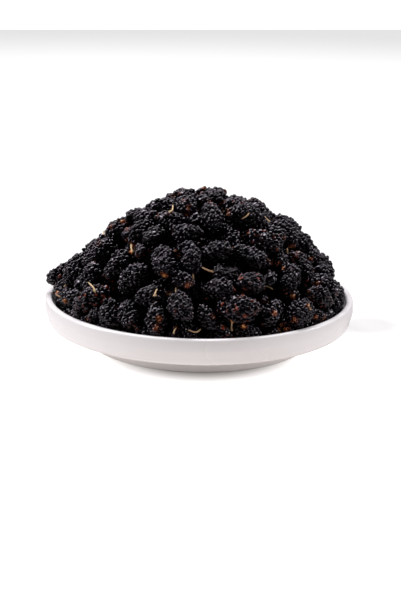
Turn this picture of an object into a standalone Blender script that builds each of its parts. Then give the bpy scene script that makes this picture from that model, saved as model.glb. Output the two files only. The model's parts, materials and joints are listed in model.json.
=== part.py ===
"""A low white bowl heaped with dried mulberries, at real size in metres, +Z up.

The bowl is turned and stands on its foot ring at z = 0, centred on the origin.
The heap is a bed of mulberries grown together with a smaller core, in one node.
Loose mulberries, single or stuck together in pairs, lie on it, each in its own node.
"""

import math

import bmesh
import bpy
import numpy as np
from mathutils import Matrix

MM = 0.001
SEED = 35
GOLDEN_ANGLE = math.pi * (3 - math.sqrt(5))

# The bowl: a low wall round a flat floor, on a narrower foot ring
BOWL_RADIUS = 75.0 * MM
BOWL_HEIGHT = 22.0 * MM
WALL = 3.5 * MM
WALL_DRAFT = 1.4 * MM
RIM_ROUND = 1.2 * MM
RIM_DRAFT = 0.2 * MM
WIDEST_HEIGHT = 17.0 * MM
HEEL_RADIUS = 70.5 * MM
HEEL_HEIGHT = 9.0 * MM
FLOOR_TOP = 11.5 * MM
UNDERSIDE = 7.5 * MM
INSIDE_CORNER = 5.0 * MM
FOOT_RADIUS = 54.5 * MM
FOOT_WIDTH = 4.5 * MM
FOOT_FLARE = 1.5 * MM
RECESS = 6.0 * MM
BOWL_SEGMENTS = 60

# The heap's outside is a dome over the bowl, whose top leans a little to +X
HEAP_RISE = 52.0 * MM
HEAP_REACH = 75.0 * MM
HEAP_POWER = 2.1
HEAP_LEAN = 3.0 * MM

# The core inside the heap, a lower dome on a short straight side
CORE_REACH = 60.0 * MM
CORE_EDGE = 15.5 * MM
CORE_RISE = 40.0 * MM
CORE_POWER = 2.1
CORE_SEGMENTS = 32
CORE_RINGS = 7

# A mulberry of the usual size: its long axis is X and its stalk end is at -X.
# Five balls on that axis, each (place, radius), give its outline.
BERRY_BALLS = ((-5.3, 4.4), (-2.7, 5.7), (0.0, 6.2), (2.8, 5.6), (5.8, 3.9))
SIZE_RANGE = (0.84, 1.10)
PLUMPNESS_RANGE = (0.90, 1.06)
BEND_RANGE = (-1.6 * MM, 1.6 * MM)
LOOSE_SEGMENTS = 10
BED_SEGMENTS = 8
BERRY_RINGS = 4
DRUPELET_DEPTH = 0.16

# Some loose mulberries keep a short curved stalk
STALK_EVERY = 4
STALK_RADIUS = 0.7 * MM
STALK_CURL = 1.6 * MM
STALK_REACHES = (1.4 * MM, 3.0 * MM, 4.6 * MM)
STALK_CLEAR = 0.9 * MM

# Single mulberries that lie in set places: x and y in mm, the compass heading of the
# tip in degrees from +X, how many degrees the tip lifts off the heap, and how many mm
# the middle lies under the heap's outside
SINGLES = (
    (-69, -1, 184, 30, 0),
    (-64, -10, 10, 0, 4),
    (-51, 6, 0, 0, 7),
    (-45, 3, 90, -60, 7),
    (-50, -14, 32, 0, 4),
    (-66, -23, 308, -35, 5),
    (-50, -46, 330, 0, 5),
    (-37, -38, 50, 0, 5),
    (-30, -22, 44, 0, 5),
    (-22, 12, 346, 0, 7),
    (-30, -51, 46, 0, 6),
    (-22, -67, 202, 0, 5),
    (-17, -46, 102, -20, 4),
    (-12, -62, 306, 0, 5),
    (-8, 9, 10, 0, 5),
    (-7, -9, 90, -20, 5),
    (-7, -34, 350, 0, 4),
    (-3, -51, 114, 0, 5),
    (2, -67, 348, 0, 6),
    (7, -23, 274, 0, 4),
    (6, 8, 180, 0, 4),
    (11, -51, 8, 0, 7),
    (20, -60, 18, 0, 4),
    (24, -44, 22, 0, 5),
    (22, -21, 4, 0, 3),
    (26, -52, 208, 0, 5),
    (30, -31, 352, 0, 4),
    (30, 6, 0, 10, 10),
    (34, -60, 34, 0, 6),
    (42, 5, 0, 0, 6),
    (47, -36, 84, 0, 5),
    (48, -50, 78, 0, 5),
    (47, 8, 202, 0, 5),
    (52, 8, 346, 0, 9),
    (59, -33, 30, 0, 4),
    (59, -2, 180, 0, 6),
    (68, -11, 340, 0, 7),
)

# The other clumps, and how deep under the heap's outside each kind's centres start
BED_COUNT = 60
BED_DEPTH = 16.5 * MM
BED_FIRST_ANGLE = 0.4
PAIR_COUNT = 21
PAIR_DEPTH = -1.0 * MM
PAIR_FIRST_ANGLE = 2.0
PAIR_SPACING = 14.0 * MM
LIFT_SPREAD = 0.28

# How the two of a pair are stuck together
PAIR_OVERLAP = 2.4 * MM
PAIR_SLIDE = 4.5 * MM
PAIR_STEP = 2.0 * MM
PAIR_TURN = 0.6
PAIR_TILT = 0.3

# Settling: loose clumps sink inwards while all clumps push each other apart
CLEARANCE = 0.6 * MM
SETTLE_STEPS = 360
CALM_STEPS = 90
SINK_STEP = 0.12 * MM
HOLD = 0.3
BED_MOBILITY = 0.3
SINGLE_MOBILITY = 0.4
STAND_OUT = 0.5 * MM
OVERHANG = 75.0 * MM
NEIGHBOUR_RANGE = 3.0 * MM
NEIGHBOUR_EVERY = 6
KEEP_TURN = 2e-5
ROUNDED_TO = 9


def dome(share, edge, rise, power):
    """Height of a dome where share of its reach lies between the centre and the point."""
    return edge + rise * (1 - share**power)


def under_heap(points):
    """Depth of each point under the heap's outside, and the outward normal there."""
    rise = np.clip((points[:, 2] - BOWL_HEIGHT) / HEAP_RISE, 0, 1)
    flat = points[:, :2] - np.outer(rise * HEAP_LEAN, (1, 0))
    radius = np.linalg.norm(flat, axis=1) + 1e-9
    share = np.clip(radius / HEAP_REACH, 0, 1.2)
    height = dome(share, BOWL_HEIGHT, HEAP_RISE, HEAP_POWER)
    slope = HEAP_RISE * HEAP_POWER * share ** (HEAP_POWER - 1) / HEAP_REACH
    steep = np.sqrt(1 + slope**2)
    normal = np.column_stack([flat * (slope / radius)[:, None], np.ones(len(radius))])
    return (height - points[:, 2]) / steep, normal / steep[:, None]


def above_core(points):
    """Height of each point over the core's dome, square to it."""
    share = np.linalg.norm(points[:, :2], axis=1) / CORE_REACH
    height = dome(np.clip(share, 0, 1), CORE_EDGE, CORE_RISE, CORE_POWER)
    slope = CORE_RISE * CORE_POWER * np.clip(share, 0, 1) ** (CORE_POWER - 1) / CORE_REACH
    return (points[:, 2] - height) / np.sqrt(1 + slope**2)


def spots_on_heap(count, first_angle, depth):
    """Evenly spread points on the heap, by the golden angle, at one depth."""
    radius = np.linspace(0, HEAP_REACH, 400)
    share = radius / HEAP_REACH
    slope = HEAP_RISE * HEAP_POWER * share ** (HEAP_POWER - 1) / HEAP_REACH
    area = np.cumsum(radius * np.sqrt(1 + slope**2))
    at = np.interp((np.arange(count) + 0.5) / count * area[-1], area, radius)
    angle = first_angle + GOLDEN_ANGLE * np.arange(count)
    height = dome(at / HEAP_REACH, BOWL_HEIGHT, HEAP_RISE, HEAP_POWER)
    points = np.column_stack([at * np.cos(angle), at * np.sin(angle), height])
    points[:, 0] += HEAP_LEAN * (height - BOWL_HEIGHT) / HEAP_RISE
    return points - depth * under_heap(points)[1]


def on_heap(x, y):
    """The points of the heap's outside over some x and y."""
    lean = 0
    for _ in range(12):
        share = np.clip(np.hypot(x - lean, y) / HEAP_REACH, 0, 1)
        height = dome(share, BOWL_HEIGHT, HEAP_RISE, HEAP_POWER)
        lean = HEAP_LEAN * (height - BOWL_HEIGHT) / HEAP_RISE
    return np.column_stack([x, y, height])


def free_spots(taken):
    """Evenly spread spots for the pairs, well away from the places already taken."""
    total = PAIR_COUNT
    while True:
        spots = spots_on_heap(total, PAIR_FIRST_ANGLE, PAIR_DEPTH)
        nearest = np.linalg.norm(spots[:, None] - taken[None], axis=2).min(axis=1)
        free = spots[nearest > PAIR_SPACING]
        if len(free) >= PAIR_COUNT:
            return free[:PAIR_COUNT]
        total += 1


def turned_to(along, up):
    """A rotation whose X runs along one direction, with Z as near as can be to up."""
    x = along / np.linalg.norm(along)
    y = np.cross(up, x)
    y /= np.linalg.norm(y)
    return np.column_stack([x, y, np.cross(x, y)])


class Berry:
    """One mulberry's size, and its place in the clump that it belongs to."""

    def __init__(self, rng, stalk=False):
        self.size = rng.uniform(*SIZE_RANGE)
        self.plump = rng.uniform(*PLUMPNESS_RANGE)
        self.bend = rng.uniform(*BEND_RANGE)
        self.stalk = stalk
        self.at = np.zeros(3)
        self.turn = np.eye(3)
        place, radius = np.array(BERRY_BALLS).T * MM * self.size
        self.places = place
        self.radii = radius * self.plump
        self.low_end = place[0] - self.radii[0]
        self.high_end = place[-1] + self.radii[-1]

    def bent(self, points):
        """Points moved sideways by the fruit's bend."""
        out = points.copy()
        out[:, 1] += self.bend * ((points[:, 0] / self.high_end) ** 2 - 0.3)
        return out

    def balls(self):
        """Centres and radii of the balls that keep it clear of others, in its own frame."""
        zero = 0 * self.places
        centres = self.bent(np.column_stack([self.places, zero, zero]))
        if not self.stalk:
            return centres, self.radii
        clear = np.full(len(STALK_REACHES), STALK_CLEAR)
        return np.vstack([centres, self.stalk_path()]), np.concatenate([self.radii, clear])

    def stalk_path(self):
        """Points along the middle of its stalk, from the fruit outwards."""
        reach = np.array(STALK_REACHES)
        curl = STALK_CURL * (reach / reach[-1]) ** 2
        start = self.bent(np.array([[self.low_end, 0, 0]]))
        return start + np.column_stack([-reach, curl, 0 * reach])

    def outline(self, x):
        """Radius of the outline at x on the long axis."""
        inside = self.radii**2 - (x - self.places) ** 2
        return math.sqrt(max(inside.max(), 0))


def new_pair(rng):
    """Two mulberries stuck together side by side."""
    first = Berry(rng)
    second = Berry(rng)
    heading, tilt, slide, step = rng.uniform(-1, 1, 4) * (PAIR_TURN, PAIR_TILT, PAIR_SLIDE, PAIR_STEP)
    along = np.array([math.cos(heading), math.sin(heading), tilt])
    second.turn = turned_to(along, np.array([0, 0, 1.0]))
    second.at = np.array([slide, 0, step])
    second.at[1] = side_shift(first, second)
    return [first, second]


def side_shift(first, second):
    """How far along Y the second mulberry stands off to sink a set depth into the first."""
    one, one_radii = first.balls()
    two, two_radii = second.balls()
    apart = (two @ second.turn.T + second.at)[:, None] - one[None]
    reach = two_radii[:, None] + one_radii[None] - PAIR_OVERLAP
    room = reach**2 - apart[:, :, 0] ** 2 - apart[:, :, 2] ** 2
    return (np.sqrt(np.clip(room, 0, None)) - apart[:, :, 1])[room > 0].max()


class Heap:
    """All clumps as rigid groups of balls, which push apart until they lie clear."""

    def __init__(self):
        rng = np.random.default_rng(SEED)
        x, y, headings, lifts, depths = np.array(SINGLES, float).T
        outside = on_heap(x * MM, y * MM)
        singles = outside - MM * depths[:, None] * under_heap(outside)[1]
        bed = spots_on_heap(BED_COUNT, BED_FIRST_ANGLE, BED_DEPTH)
        self.centre = np.vstack([bed, singles, free_spots(singles)])
        self.clumps = [[Berry(rng)] for _ in range(BED_COUNT)]
        self.clumps += [[Berry(rng, n % STALK_EVERY == 1)] for n in range(len(SINGLES))]
        self.clumps += [new_pair(rng) for _ in range(PAIR_COUNT)]
        number = np.arange(len(self.clumps))
        self.is_bed = number < BED_COUNT
        self.is_pair = number >= BED_COUNT + len(SINGLES)
        heading = rng.uniform(0, 2 * math.pi, len(number))
        lift = rng.normal(0, LIFT_SPREAD, len(number))
        is_single = ~self.is_bed & ~self.is_pair
        heading[is_single] = np.radians(headings)
        lift[is_single] = np.radians(lifts)
        self.depth = np.full(len(number), BED_DEPTH)
        self.depth[is_single] = depths * MM
        self.turn = np.array([self.lie(*place) for place in zip(self.centre, heading, lift)])
        self.gather_balls()

    def lie(self, centre, heading, lift):
        """A rotation that lays a mulberry along the heap's side, its tip lifted a little."""
        normal = under_heap(centre[None])[1][0]
        flat = np.array([math.cos(heading), math.sin(heading)])
        along = np.append(flat, -(flat @ normal[:2]) / normal[2])
        along *= math.cos(lift) / np.linalg.norm(along)
        return turned_to(along + math.sin(lift) * normal, normal)

    def gather_balls(self):
        """Lists every clump's balls, placed about the clump's middle."""
        owner, offset, radius = [], [], []
        for number, berries in enumerate(self.clumps):
            for berry in berries:
                centres, radii = berry.balls()
                offset.append(centres @ berry.turn.T + berry.at)
                radius.append(radii)
                owner += [number] * len(radii)
        self.owner = np.array(owner)
        self.radius = np.concatenate(radius)
        offset = np.vstack(offset)
        self.middle = self.per_clump(offset)
        self.offset = offset - self.middle[self.owner]
        mobility = np.where(self.is_bed, BED_MOBILITY, SINGLE_MOBILITY)
        self.mobility = np.where(self.is_pair, 1.0, mobility)[self.owner]

    def per_clump(self, values):
        """Mean of the balls' values in each clump."""
        sums = [np.bincount(self.owner, column) for column in values.T]
        return np.column_stack(sums) / np.bincount(self.owner)[:, None]

    def ball_places(self):
        turned = np.einsum("nij,nj->ni", self.turn[self.owner], self.offset)
        return self.centre[self.owner] + turned

    def find_neighbours(self, places):
        """Pairs of balls of different clumps that are near enough to meet soon."""
        apart = np.linalg.norm(places[:, None] - places[None], axis=2)
        reach = self.radius[:, None] + self.radius[None] + CLEARANCE + NEIGHBOUR_RANGE
        near = (apart < reach) & (self.owner[:, None] < self.owner[None])
        return np.nonzero(near)

    def push_apart(self, places, pairs):
        """How far each ball moves to come clear of other clumps, and the worst overlap."""
        one, two = pairs
        apart = places[one] - places[two]
        distance = np.linalg.norm(apart, axis=1) + 1e-12
        overlap = self.radius[one] + self.radius[two] + CLEARANCE - distance
        overlap = np.clip(overlap, 0, None)
        total = self.mobility[one] + self.mobility[two]
        push = apart * (overlap / distance / total)[:, None]
        move = np.zeros_like(places)
        np.add.at(move, one, push * self.mobility[one][:, None])
        np.add.at(move, two, -push * self.mobility[two][:, None])
        return move, overlap.max()

    def push_off_bowl(self, places):
        """How far each ball moves to come clear of the bowl's wall and floor."""
        out = np.linalg.norm(places[:, :2], axis=1)
        near_out = np.clip(out, BOWL_RADIUS - WALL, BOWL_RADIUS)
        over_rim = np.clip(places[:, 2] - BOWL_HEIGHT, 0, None)
        gap = np.column_stack([out - near_out, over_rim])
        distance = np.linalg.norm(gap, axis=1)
        inside = (distance < 1e-6)[:, None]
        way = np.where(inside, (-1.0, 0.0), gap / (distance[:, None] + 1e-12))
        short = np.clip(self.radius + CLEARANCE - distance, 0, None)
        outward = places[:, :2] / (out[:, None] + 1e-12)
        move = np.zeros_like(places)
        move[:, :2] = outward * (way[:, 0] * short)[:, None]
        move[:, 2] = way[:, 1] * short
        move[:, 2] += np.clip(FLOOR_TOP + self.radius + CLEARANCE - places[:, 2], 0, None)
        move[:, :2] -= outward * np.clip(out + self.radius - OVERHANG, 0, None)[:, None]
        return move

    def push_in(self, places):
        """How far each ball of a pair moves in to stand out of the heap no further than the rest."""
        depth, normal = under_heap(places)
        excess = np.clip(self.radius - depth - STAND_OUT, 0, None)
        return (HOLD * excess * self.is_pair[self.owner])[:, None] * normal

    def push_off_core(self, places):
        """How far each loose ball moves to come clear of the core."""
        short = np.clip(self.radius + CLEARANCE - above_core(places), 0, None)
        short[self.is_bed[self.owner]] = 0
        return short[:, None] * under_heap(places)[1]

    def settle(self):
        """Runs the settling, and leaves every clump clear of the others."""
        for step in range(SETTLE_STEPS):
            places = self.ball_places()
            if step % NEIGHBOUR_EVERY == 0:
                pairs = self.find_neighbours(places)
            move = self.push_apart(places, pairs)[0]
            move += self.push_off_bowl(places) + self.push_off_core(places)
            depth, normal = under_heap(self.centre)
            if step < SETTLE_STEPS - CALM_STEPS:
                pull = np.where(self.is_pair, -SINK_STEP, HOLD * (depth - self.depth))
                move += (pull[:, None] * normal)[self.owner] - self.push_in(places)
            self.match(places + move)

    def match(self, wanted):
        """Moves each clump, kept rigid, as near as it goes to where its balls want to be."""
        self.centre = np.round(self.per_clump(wanted), ROUNDED_TO)
        spread = wanted - self.centre[self.owner]
        fit = KEEP_TURN * self.turn
        np.add.at(fit, self.owner, spread[:, :, None] * self.offset[:, None])
        u, _, vt = np.linalg.svd(fit)
        u[:, :, 2] *= np.linalg.det(u @ vt)[:, None]
        self.turn = np.round(u @ vt, ROUNDED_TO)

    def placed(self, number):
        """Each berry of a clump, with the matrix that places it in the bowl's frame."""
        for berry in self.clumps[number]:
            place = self.centre[number] + self.turn[number] @ (berry.at - self.middle[number])
            matrix = Matrix((self.turn[number] @ berry.turn).tolist()).to_4x4()
            matrix.translation = place
            yield berry, matrix


def new_material(name, colour, roughness):
    material = bpy.data.materials.new(name)
    material.use_nodes = True
    shader = material.node_tree.nodes["Principled BSDF"]
    shader.inputs["Base Color"].default_value = (*colour, 1)
    shader.inputs["Roughness"].default_value = roughness
    shader.inputs["Metallic"].default_value = 0
    return material


def new_object(name, bm, collection=None):
    """Turns a bmesh into a smooth-shaded object."""
    bmesh.ops.recalc_face_normals(bm, faces=bm.faces)
    mesh = bpy.data.meshes.new(name)
    bm.to_mesh(mesh)
    bm.free()
    mesh.shade_smooth()
    mesh.set_sharp_from_angle(angle=math.radians(40))
    obj = bpy.data.objects.new(name, mesh)
    (collection or bpy.context.scene.collection).objects.link(obj)
    return obj


def turned(bm, profile, segments):
    """Spins a profile of (radius, height) points about Z into a closed shape."""
    verts = [bm.verts.new((radius, 0, height)) for radius, height in profile]
    edges = [bm.edges.new(pair) for pair in zip(verts, verts[1:])]
    bmesh.ops.spin(
        bm, geom=verts + edges, axis=(0, 0, 1), angle=2 * math.pi, steps=segments, use_merge=True
    )
    bmesh.ops.remove_doubles(bm, verts=bm.verts, dist=0.001 * MM)


def arc(centre, radius, start, end, steps):
    """Points of an arc from one angle to another, in degrees, both ends included."""
    angles = np.radians(np.linspace(start, end, steps + 1))
    return [(centre[0] + radius * math.cos(a), centre[1] + radius * math.sin(a)) for a in angles]


def bowl_profile():
    """The bowl's section, from the middle of its floor, over the rim, to its underside."""
    inside = BOWL_RADIUS - WALL
    corner = (inside - INSIDE_CORNER, FLOOR_TOP + INSIDE_CORNER)
    rim_top = BOWL_HEIGHT - RIM_ROUND
    heel_round = BOWL_RADIUS - WALL_DRAFT - HEEL_RADIUS
    heel = (HEEL_RADIUS, HEEL_HEIGHT + heel_round)
    profile = [(0, FLOOR_TOP)]
    profile += arc(corner, INSIDE_CORNER, -90, 0, 2)
    profile += arc((inside + RIM_ROUND, rim_top), RIM_ROUND, 180, 90, 1)
    profile += arc((BOWL_RADIUS - RIM_DRAFT - RIM_ROUND, rim_top), RIM_ROUND, 90, 0, 1)
    profile.append((BOWL_RADIUS, WIDEST_HEIGHT))
    profile += arc(heel, heel_round, 0, -90, 2)
    profile.append((FOOT_RADIUS + FOOT_FLARE, UNDERSIDE))
    profile.append((FOOT_RADIUS, 0))
    profile.append((FOOT_RADIUS - FOOT_WIDTH, 0))
    profile.append((FOOT_RADIUS - FOOT_WIDTH - FOOT_FLARE, RECESS))
    profile.append((0, RECESS))
    return profile


def build_bowl():
    bm = bmesh.new()
    turned(bm, bowl_profile(), BOWL_SEGMENTS)
    bowl = new_object("bowl", bm)
    bowl.data.materials.append(new_material("bowl_glaze", (0.86, 0.85, 0.84), 0.2))


def grow_stalk(bm, berry):
    """Grows a short curved stalk out of the fruit's stalk end."""
    pole = min(bm.verts, key=lambda vert: vert.co.x)
    ring = bmesh.ops.bevel(bm, geom=[pole], offset=STALK_RADIUS, segments=1, affect="VERTICES")
    face = max(ring["faces"], key=lambda face: len(face.verts))
    here = np.array(face.calc_center_median())
    for point in berry.stalk_path():
        grown = bmesh.ops.extrude_discrete_faces(bm, faces=[face])
        face = grown["faces"][0]
        bmesh.ops.translate(bm, verts=face.verts, vec=point - here)
        here = point


def berry_shape(berry, segments):
    """A bmesh of one mulberry, whose drupelets stand up from its outline."""
    bm = bmesh.new()
    bmesh.ops.create_uvsphere(bm, u_segments=segments, v_segments=BERRY_RINGS + 1, radius=1)
    middle = (berry.high_end + berry.low_end) / 2
    half = (berry.high_end - berry.low_end) / 2
    for vert in bm.verts:
        across, up, along = vert.co
        ring = round(math.acos(max(-1, min(1, along))) * (BERRY_RINGS + 1) / math.pi)
        angle = math.atan2(up, across)
        segment = round(angle * segments / (2 * math.pi))
        radius = berry.outline(middle + half * along)
        if (ring + segment) % 2:
            radius *= 1 - DRUPELET_DEPTH
        if ring in (0, BERRY_RINGS + 1):
            radius = 0
        x = middle + half * along
        point = np.array([[x, radius * math.cos(angle), radius * math.sin(angle)]])
        vert.co = berry.bent(point)[0]
    bmesh.ops.triangulate(bm, faces=bm.faces, quad_method="SHORT_EDGE")
    if berry.stalk:
        grow_stalk(bm, berry)
    return bm


def berry_object(name, berry, matrix, segments, collection=None):
    bm = berry_shape(berry, segments)
    bmesh.ops.transform(bm, matrix=matrix, verts=bm.verts)
    return new_object(name, bm, collection)


def core_profile():
    """The core's section, from its top down to the bowl's floor."""
    shares = np.sin(np.linspace(0, math.pi / 2, CORE_RINGS + 1))
    heights = dome(shares, CORE_EDGE, CORE_RISE, CORE_POWER)
    base = FLOOR_TOP + CLEARANCE / 2
    profile = list(zip(shares * CORE_REACH, heights))
    profile.append((CORE_REACH, base + INSIDE_CORNER / 2))
    profile.append((CORE_REACH - INSIDE_CORNER / 2, base))
    profile.append((0, base))
    return profile


def unite(first, collection):
    """Fuses every object of a collection into another object, and removes them."""
    union = first.modifiers.new("union", "BOOLEAN")
    union.operation = "UNION"
    union.operand_type = "COLLECTION"
    union.collection = collection
    union.solver = "EXACT"
    bpy.context.view_layer.update()
    evaluated = first.evaluated_get(bpy.context.evaluated_depsgraph_get())
    mesh = bpy.data.meshes.new_from_object(evaluated)
    first.modifiers.clear()
    first.data = mesh
    mesh.shade_smooth()
    mesh.set_sharp_from_angle(angle=math.radians(40))
    for piece in list(collection.objects):
        bpy.data.objects.remove(piece)
    bpy.data.collections.remove(collection)


def fuse_berries(first, placed, segments):
    """Fuses mulberries into an object, which stays one node."""
    collection = bpy.data.collections.new(first.name + "_pieces")
    bpy.context.scene.collection.children.link(collection)
    for berry, matrix in placed:
        berry_object(first.name + "_piece", berry, matrix, segments, collection)
    unite(first, collection)


def build_heap(heap):
    bm = bmesh.new()
    turned(bm, core_profile(), CORE_SEGMENTS)
    bed = new_object("mulberry_bed", bm)
    berries = [placed for number in np.nonzero(heap.is_bed)[0] for placed in heap.placed(number)]
    fuse_berries(bed, berries, BED_SEGMENTS)
    bed.data.materials.append(new_material("mulberry_bed", (0.012, 0.009, 0.012), 0.5))


def build_loose(heap):
    for count, number in enumerate(np.nonzero(~heap.is_bed)[0], start=1):
        placed = list(heap.placed(number))
        kind = "mulberry" if len(placed) == 1 else "mulberry_pair"
        name = f"{kind}_{count:02d}"
        first = berry_object(name, *placed[0], LOOSE_SEGMENTS)
        if len(placed) > 1:
            fuse_berries(first, placed[1:], LOOSE_SEGMENTS)
        first.data.materials.append(new_material(name, (0.018, 0.012, 0.017), 0.42))


def main():
    for obj in list(bpy.data.objects):
        bpy.data.objects.remove(obj)
    heap = Heap()
    heap.settle()
    build_bowl()
    build_heap(heap)
    build_loose(heap)


main()
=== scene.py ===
"""A low white bowl heaped with dried mulberries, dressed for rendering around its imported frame.

Laid out as a Blender add-on and run as a script. Lengths are in metres, +Z is up, and every
piece's place is in its own mesh. The mulberries lie where the frame's nodes lie, because the
same seeded rule settles them here; smaller ones are then set into the gaps between them.
"""

import functools
import json
import math

import bmesh
import bpy
import numpy as np
from bpy.props import FloatProperty, FloatVectorProperty, IntProperty, PointerProperty
from mathutils import Matrix, Quaternion, Vector
from mathutils.bvhtree import BVHTree

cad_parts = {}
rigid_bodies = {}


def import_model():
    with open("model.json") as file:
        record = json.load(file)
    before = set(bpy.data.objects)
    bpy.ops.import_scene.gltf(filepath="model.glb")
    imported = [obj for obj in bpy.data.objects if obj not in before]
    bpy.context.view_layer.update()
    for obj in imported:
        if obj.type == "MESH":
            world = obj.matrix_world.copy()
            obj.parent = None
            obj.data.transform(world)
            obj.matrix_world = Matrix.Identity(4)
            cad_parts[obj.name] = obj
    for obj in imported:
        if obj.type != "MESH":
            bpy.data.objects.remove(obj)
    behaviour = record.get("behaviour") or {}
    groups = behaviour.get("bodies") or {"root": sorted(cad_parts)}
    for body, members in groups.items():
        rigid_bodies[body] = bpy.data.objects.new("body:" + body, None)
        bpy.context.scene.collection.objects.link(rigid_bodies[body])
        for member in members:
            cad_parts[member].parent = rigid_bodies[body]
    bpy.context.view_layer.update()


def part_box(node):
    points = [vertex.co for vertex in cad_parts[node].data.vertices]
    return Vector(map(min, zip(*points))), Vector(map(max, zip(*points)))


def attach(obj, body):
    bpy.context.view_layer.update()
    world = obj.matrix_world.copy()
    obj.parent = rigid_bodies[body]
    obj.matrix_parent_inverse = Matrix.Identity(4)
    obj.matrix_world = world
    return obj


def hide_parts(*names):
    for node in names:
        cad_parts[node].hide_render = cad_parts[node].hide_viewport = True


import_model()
BOWL_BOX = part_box("bowl")

bl_info = {
    "name": "Bowl of Dried Mulberries",
    "version": (1, 0, 0),
    "blender": (4, 5, 0),
    "location": "View3D > Sidebar > Mulberries",
    "description": "Adds a low glazed bowl heaped with dried mulberries, with its floor and light",
    "category": "Object",
}

MM = 0.001
SEED = 35
GOLDEN_ANGLE = math.pi * (3 - math.sqrt(5))
# Added where a length could be zero, and the distance under which a ball touches
TINY = 1e-9
TINIEST = 1e-12
TOUCHING = 1e-6

# The bowl, whose radius and height are the frame's
BOWL_RADIUS = BOWL_BOX[1][0]
BOWL_HEIGHT = BOWL_BOX[1][2]
WALL = 3.5 * MM
WALL_DRAFT = 1.4 * MM
RIM_ROUND = 1.2 * MM
RIM_DRAFT = 0.2 * MM
WIDEST_HEIGHT = 17.0 * MM
WALL_BULGE = 60.0 * MM
HEEL_RADIUS = 70.5 * MM
HEEL_HEIGHT = 9.0 * MM
FLOOR_TOP = 11.5 * MM
UNDERSIDE = 7.5 * MM
INSIDE_CORNER = 5.0 * MM
FOOT_RADIUS = 54.5 * MM
FOOT_WIDTH = 4.5 * MM
FOOT_FLARE = 1.5 * MM
FOOT_ROUND = 0.6 * MM
FILLET_OUT = 1.2 * MM
FILLET_UP = 0.25 * MM
FILLET_DOWN = 0.6 * MM
RECESS = 6.0 * MM
BOWL_SEGMENTS = 160
LARGE_ROUND_STEPS = 8
RIM_ROUND_STEPS = 6
SMALL_ROUND_STEPS = 4
MERGE_DISTANCE = 0.001 * MM

# The heap's outside is a dome over the bowl, whose top leans a little to +X
HEAP_RISE = 52.0 * MM
HEAP_REACH = 75.0 * MM
HEAP_POWER = 2.1
HEAP_LEAN = 3.0 * MM
HEAP_FOLLOWED = 1.2
HEAP_STEPS = 400
LEAN_STEPS = 12
CORE_REACH = 60.0 * MM
CORE_EDGE = 15.5 * MM
CORE_RISE = 40.0 * MM
CORE_POWER = 2.1

# A mulberry of the usual size: its long axis is X and its stalk end is at -X.
# Five balls on that axis, each (place, radius), give its outline.
BERRY_BALLS = ((-5.3, 4.4), (-2.7, 5.7), (0.0, 6.2), (2.8, 5.6), (5.8, 3.9))
SIZE_RANGE = (0.84, 1.10)
PLUMPNESS_RANGE = (0.90, 1.06)
BEND_RANGE = (-1.6 * MM, 1.6 * MM)
BEND_OFFSET = 0.3
STALK_EVERY = 4
STALK_CURL = 1.6 * MM
STALK_REACHES = (1.4 * MM, 3.0 * MM, 4.6 * MM)
STALK_CLEAR = 0.9 * MM

# Single mulberries that lie in set places: x and y in mm, the compass heading of the
# tip in degrees from +X, how many degrees the tip lifts off the heap, and how many mm
# the middle lies under the heap's outside
SINGLES = (
    (-69, -1, 184, 30, 0), (-64, -10, 10, 0, 4), (-51, 6, 0, 0, 7), (-45, 3, 90, -60, 7),
    (-50, -14, 32, 0, 4), (-66, -23, 308, -35, 5), (-50, -46, 330, 0, 5), (-37, -38, 50, 0, 5),
    (-30, -22, 44, 0, 5), (-22, 12, 346, 0, 7), (-30, -51, 46, 0, 6), (-22, -67, 202, 0, 5),
    (-17, -46, 102, -20, 4), (-12, -62, 306, 0, 5), (-8, 9, 10, 0, 5), (-7, -9, 90, -20, 5),
    (-7, -34, 350, 0, 4), (-3, -51, 114, 0, 5), (2, -67, 348, 0, 6), (7, -23, 274, 0, 4),
    (6, 8, 180, 0, 4), (11, -51, 8, 0, 7), (20, -60, 18, 0, 4), (24, -44, 22, 0, 5),
    (22, -21, 4, 0, 3), (26, -52, 208, 0, 5), (30, -31, 352, 0, 4), (30, 6, 0, 10, 10),
    (34, -60, 34, 0, 6), (42, 5, 0, 0, 6), (47, -36, 84, 0, 5), (48, -50, 78, 0, 5),
    (47, 8, 202, 0, 5), (52, 8, 346, 0, 9), (59, -33, 30, 0, 4), (59, -2, 180, 0, 6),
    (68, -11, 340, 0, 7),
)

# The other clumps, and how deep under the heap's outside each kind's centres start
BED_COUNT = 60
BED_DEPTH = 16.5 * MM
BED_FIRST_ANGLE = 0.4
PAIR_COUNT = 21
PAIR_DEPTH = -1.0 * MM
PAIR_FIRST_ANGLE = 2.0
PAIR_SPACING = 14.0 * MM
LIFT_SPREAD = 0.28
PAIR_OVERLAP = 2.4 * MM
PAIR_SLIDE = 4.5 * MM
PAIR_STEP = 2.0 * MM
PAIR_TURN = 0.6
PAIR_TILT = 0.3

# Settling: loose clumps sink inwards while all clumps push each other apart
CLEARANCE = 0.6 * MM
SETTLE_STEPS = 360
CALM_STEPS = 90
SINK_STEP = 0.12 * MM
HOLD = 0.3
BED_MOBILITY = 0.3
SINGLE_MOBILITY = 0.4
STAND_OUT = 0.5 * MM
OVERHANG = 75.0 * MM
NEIGHBOUR_RANGE = 3.0 * MM
NEIGHBOUR_EVERY = 6
KEEP_TURN = 2e-5
ROUNDED_TO = 9

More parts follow.
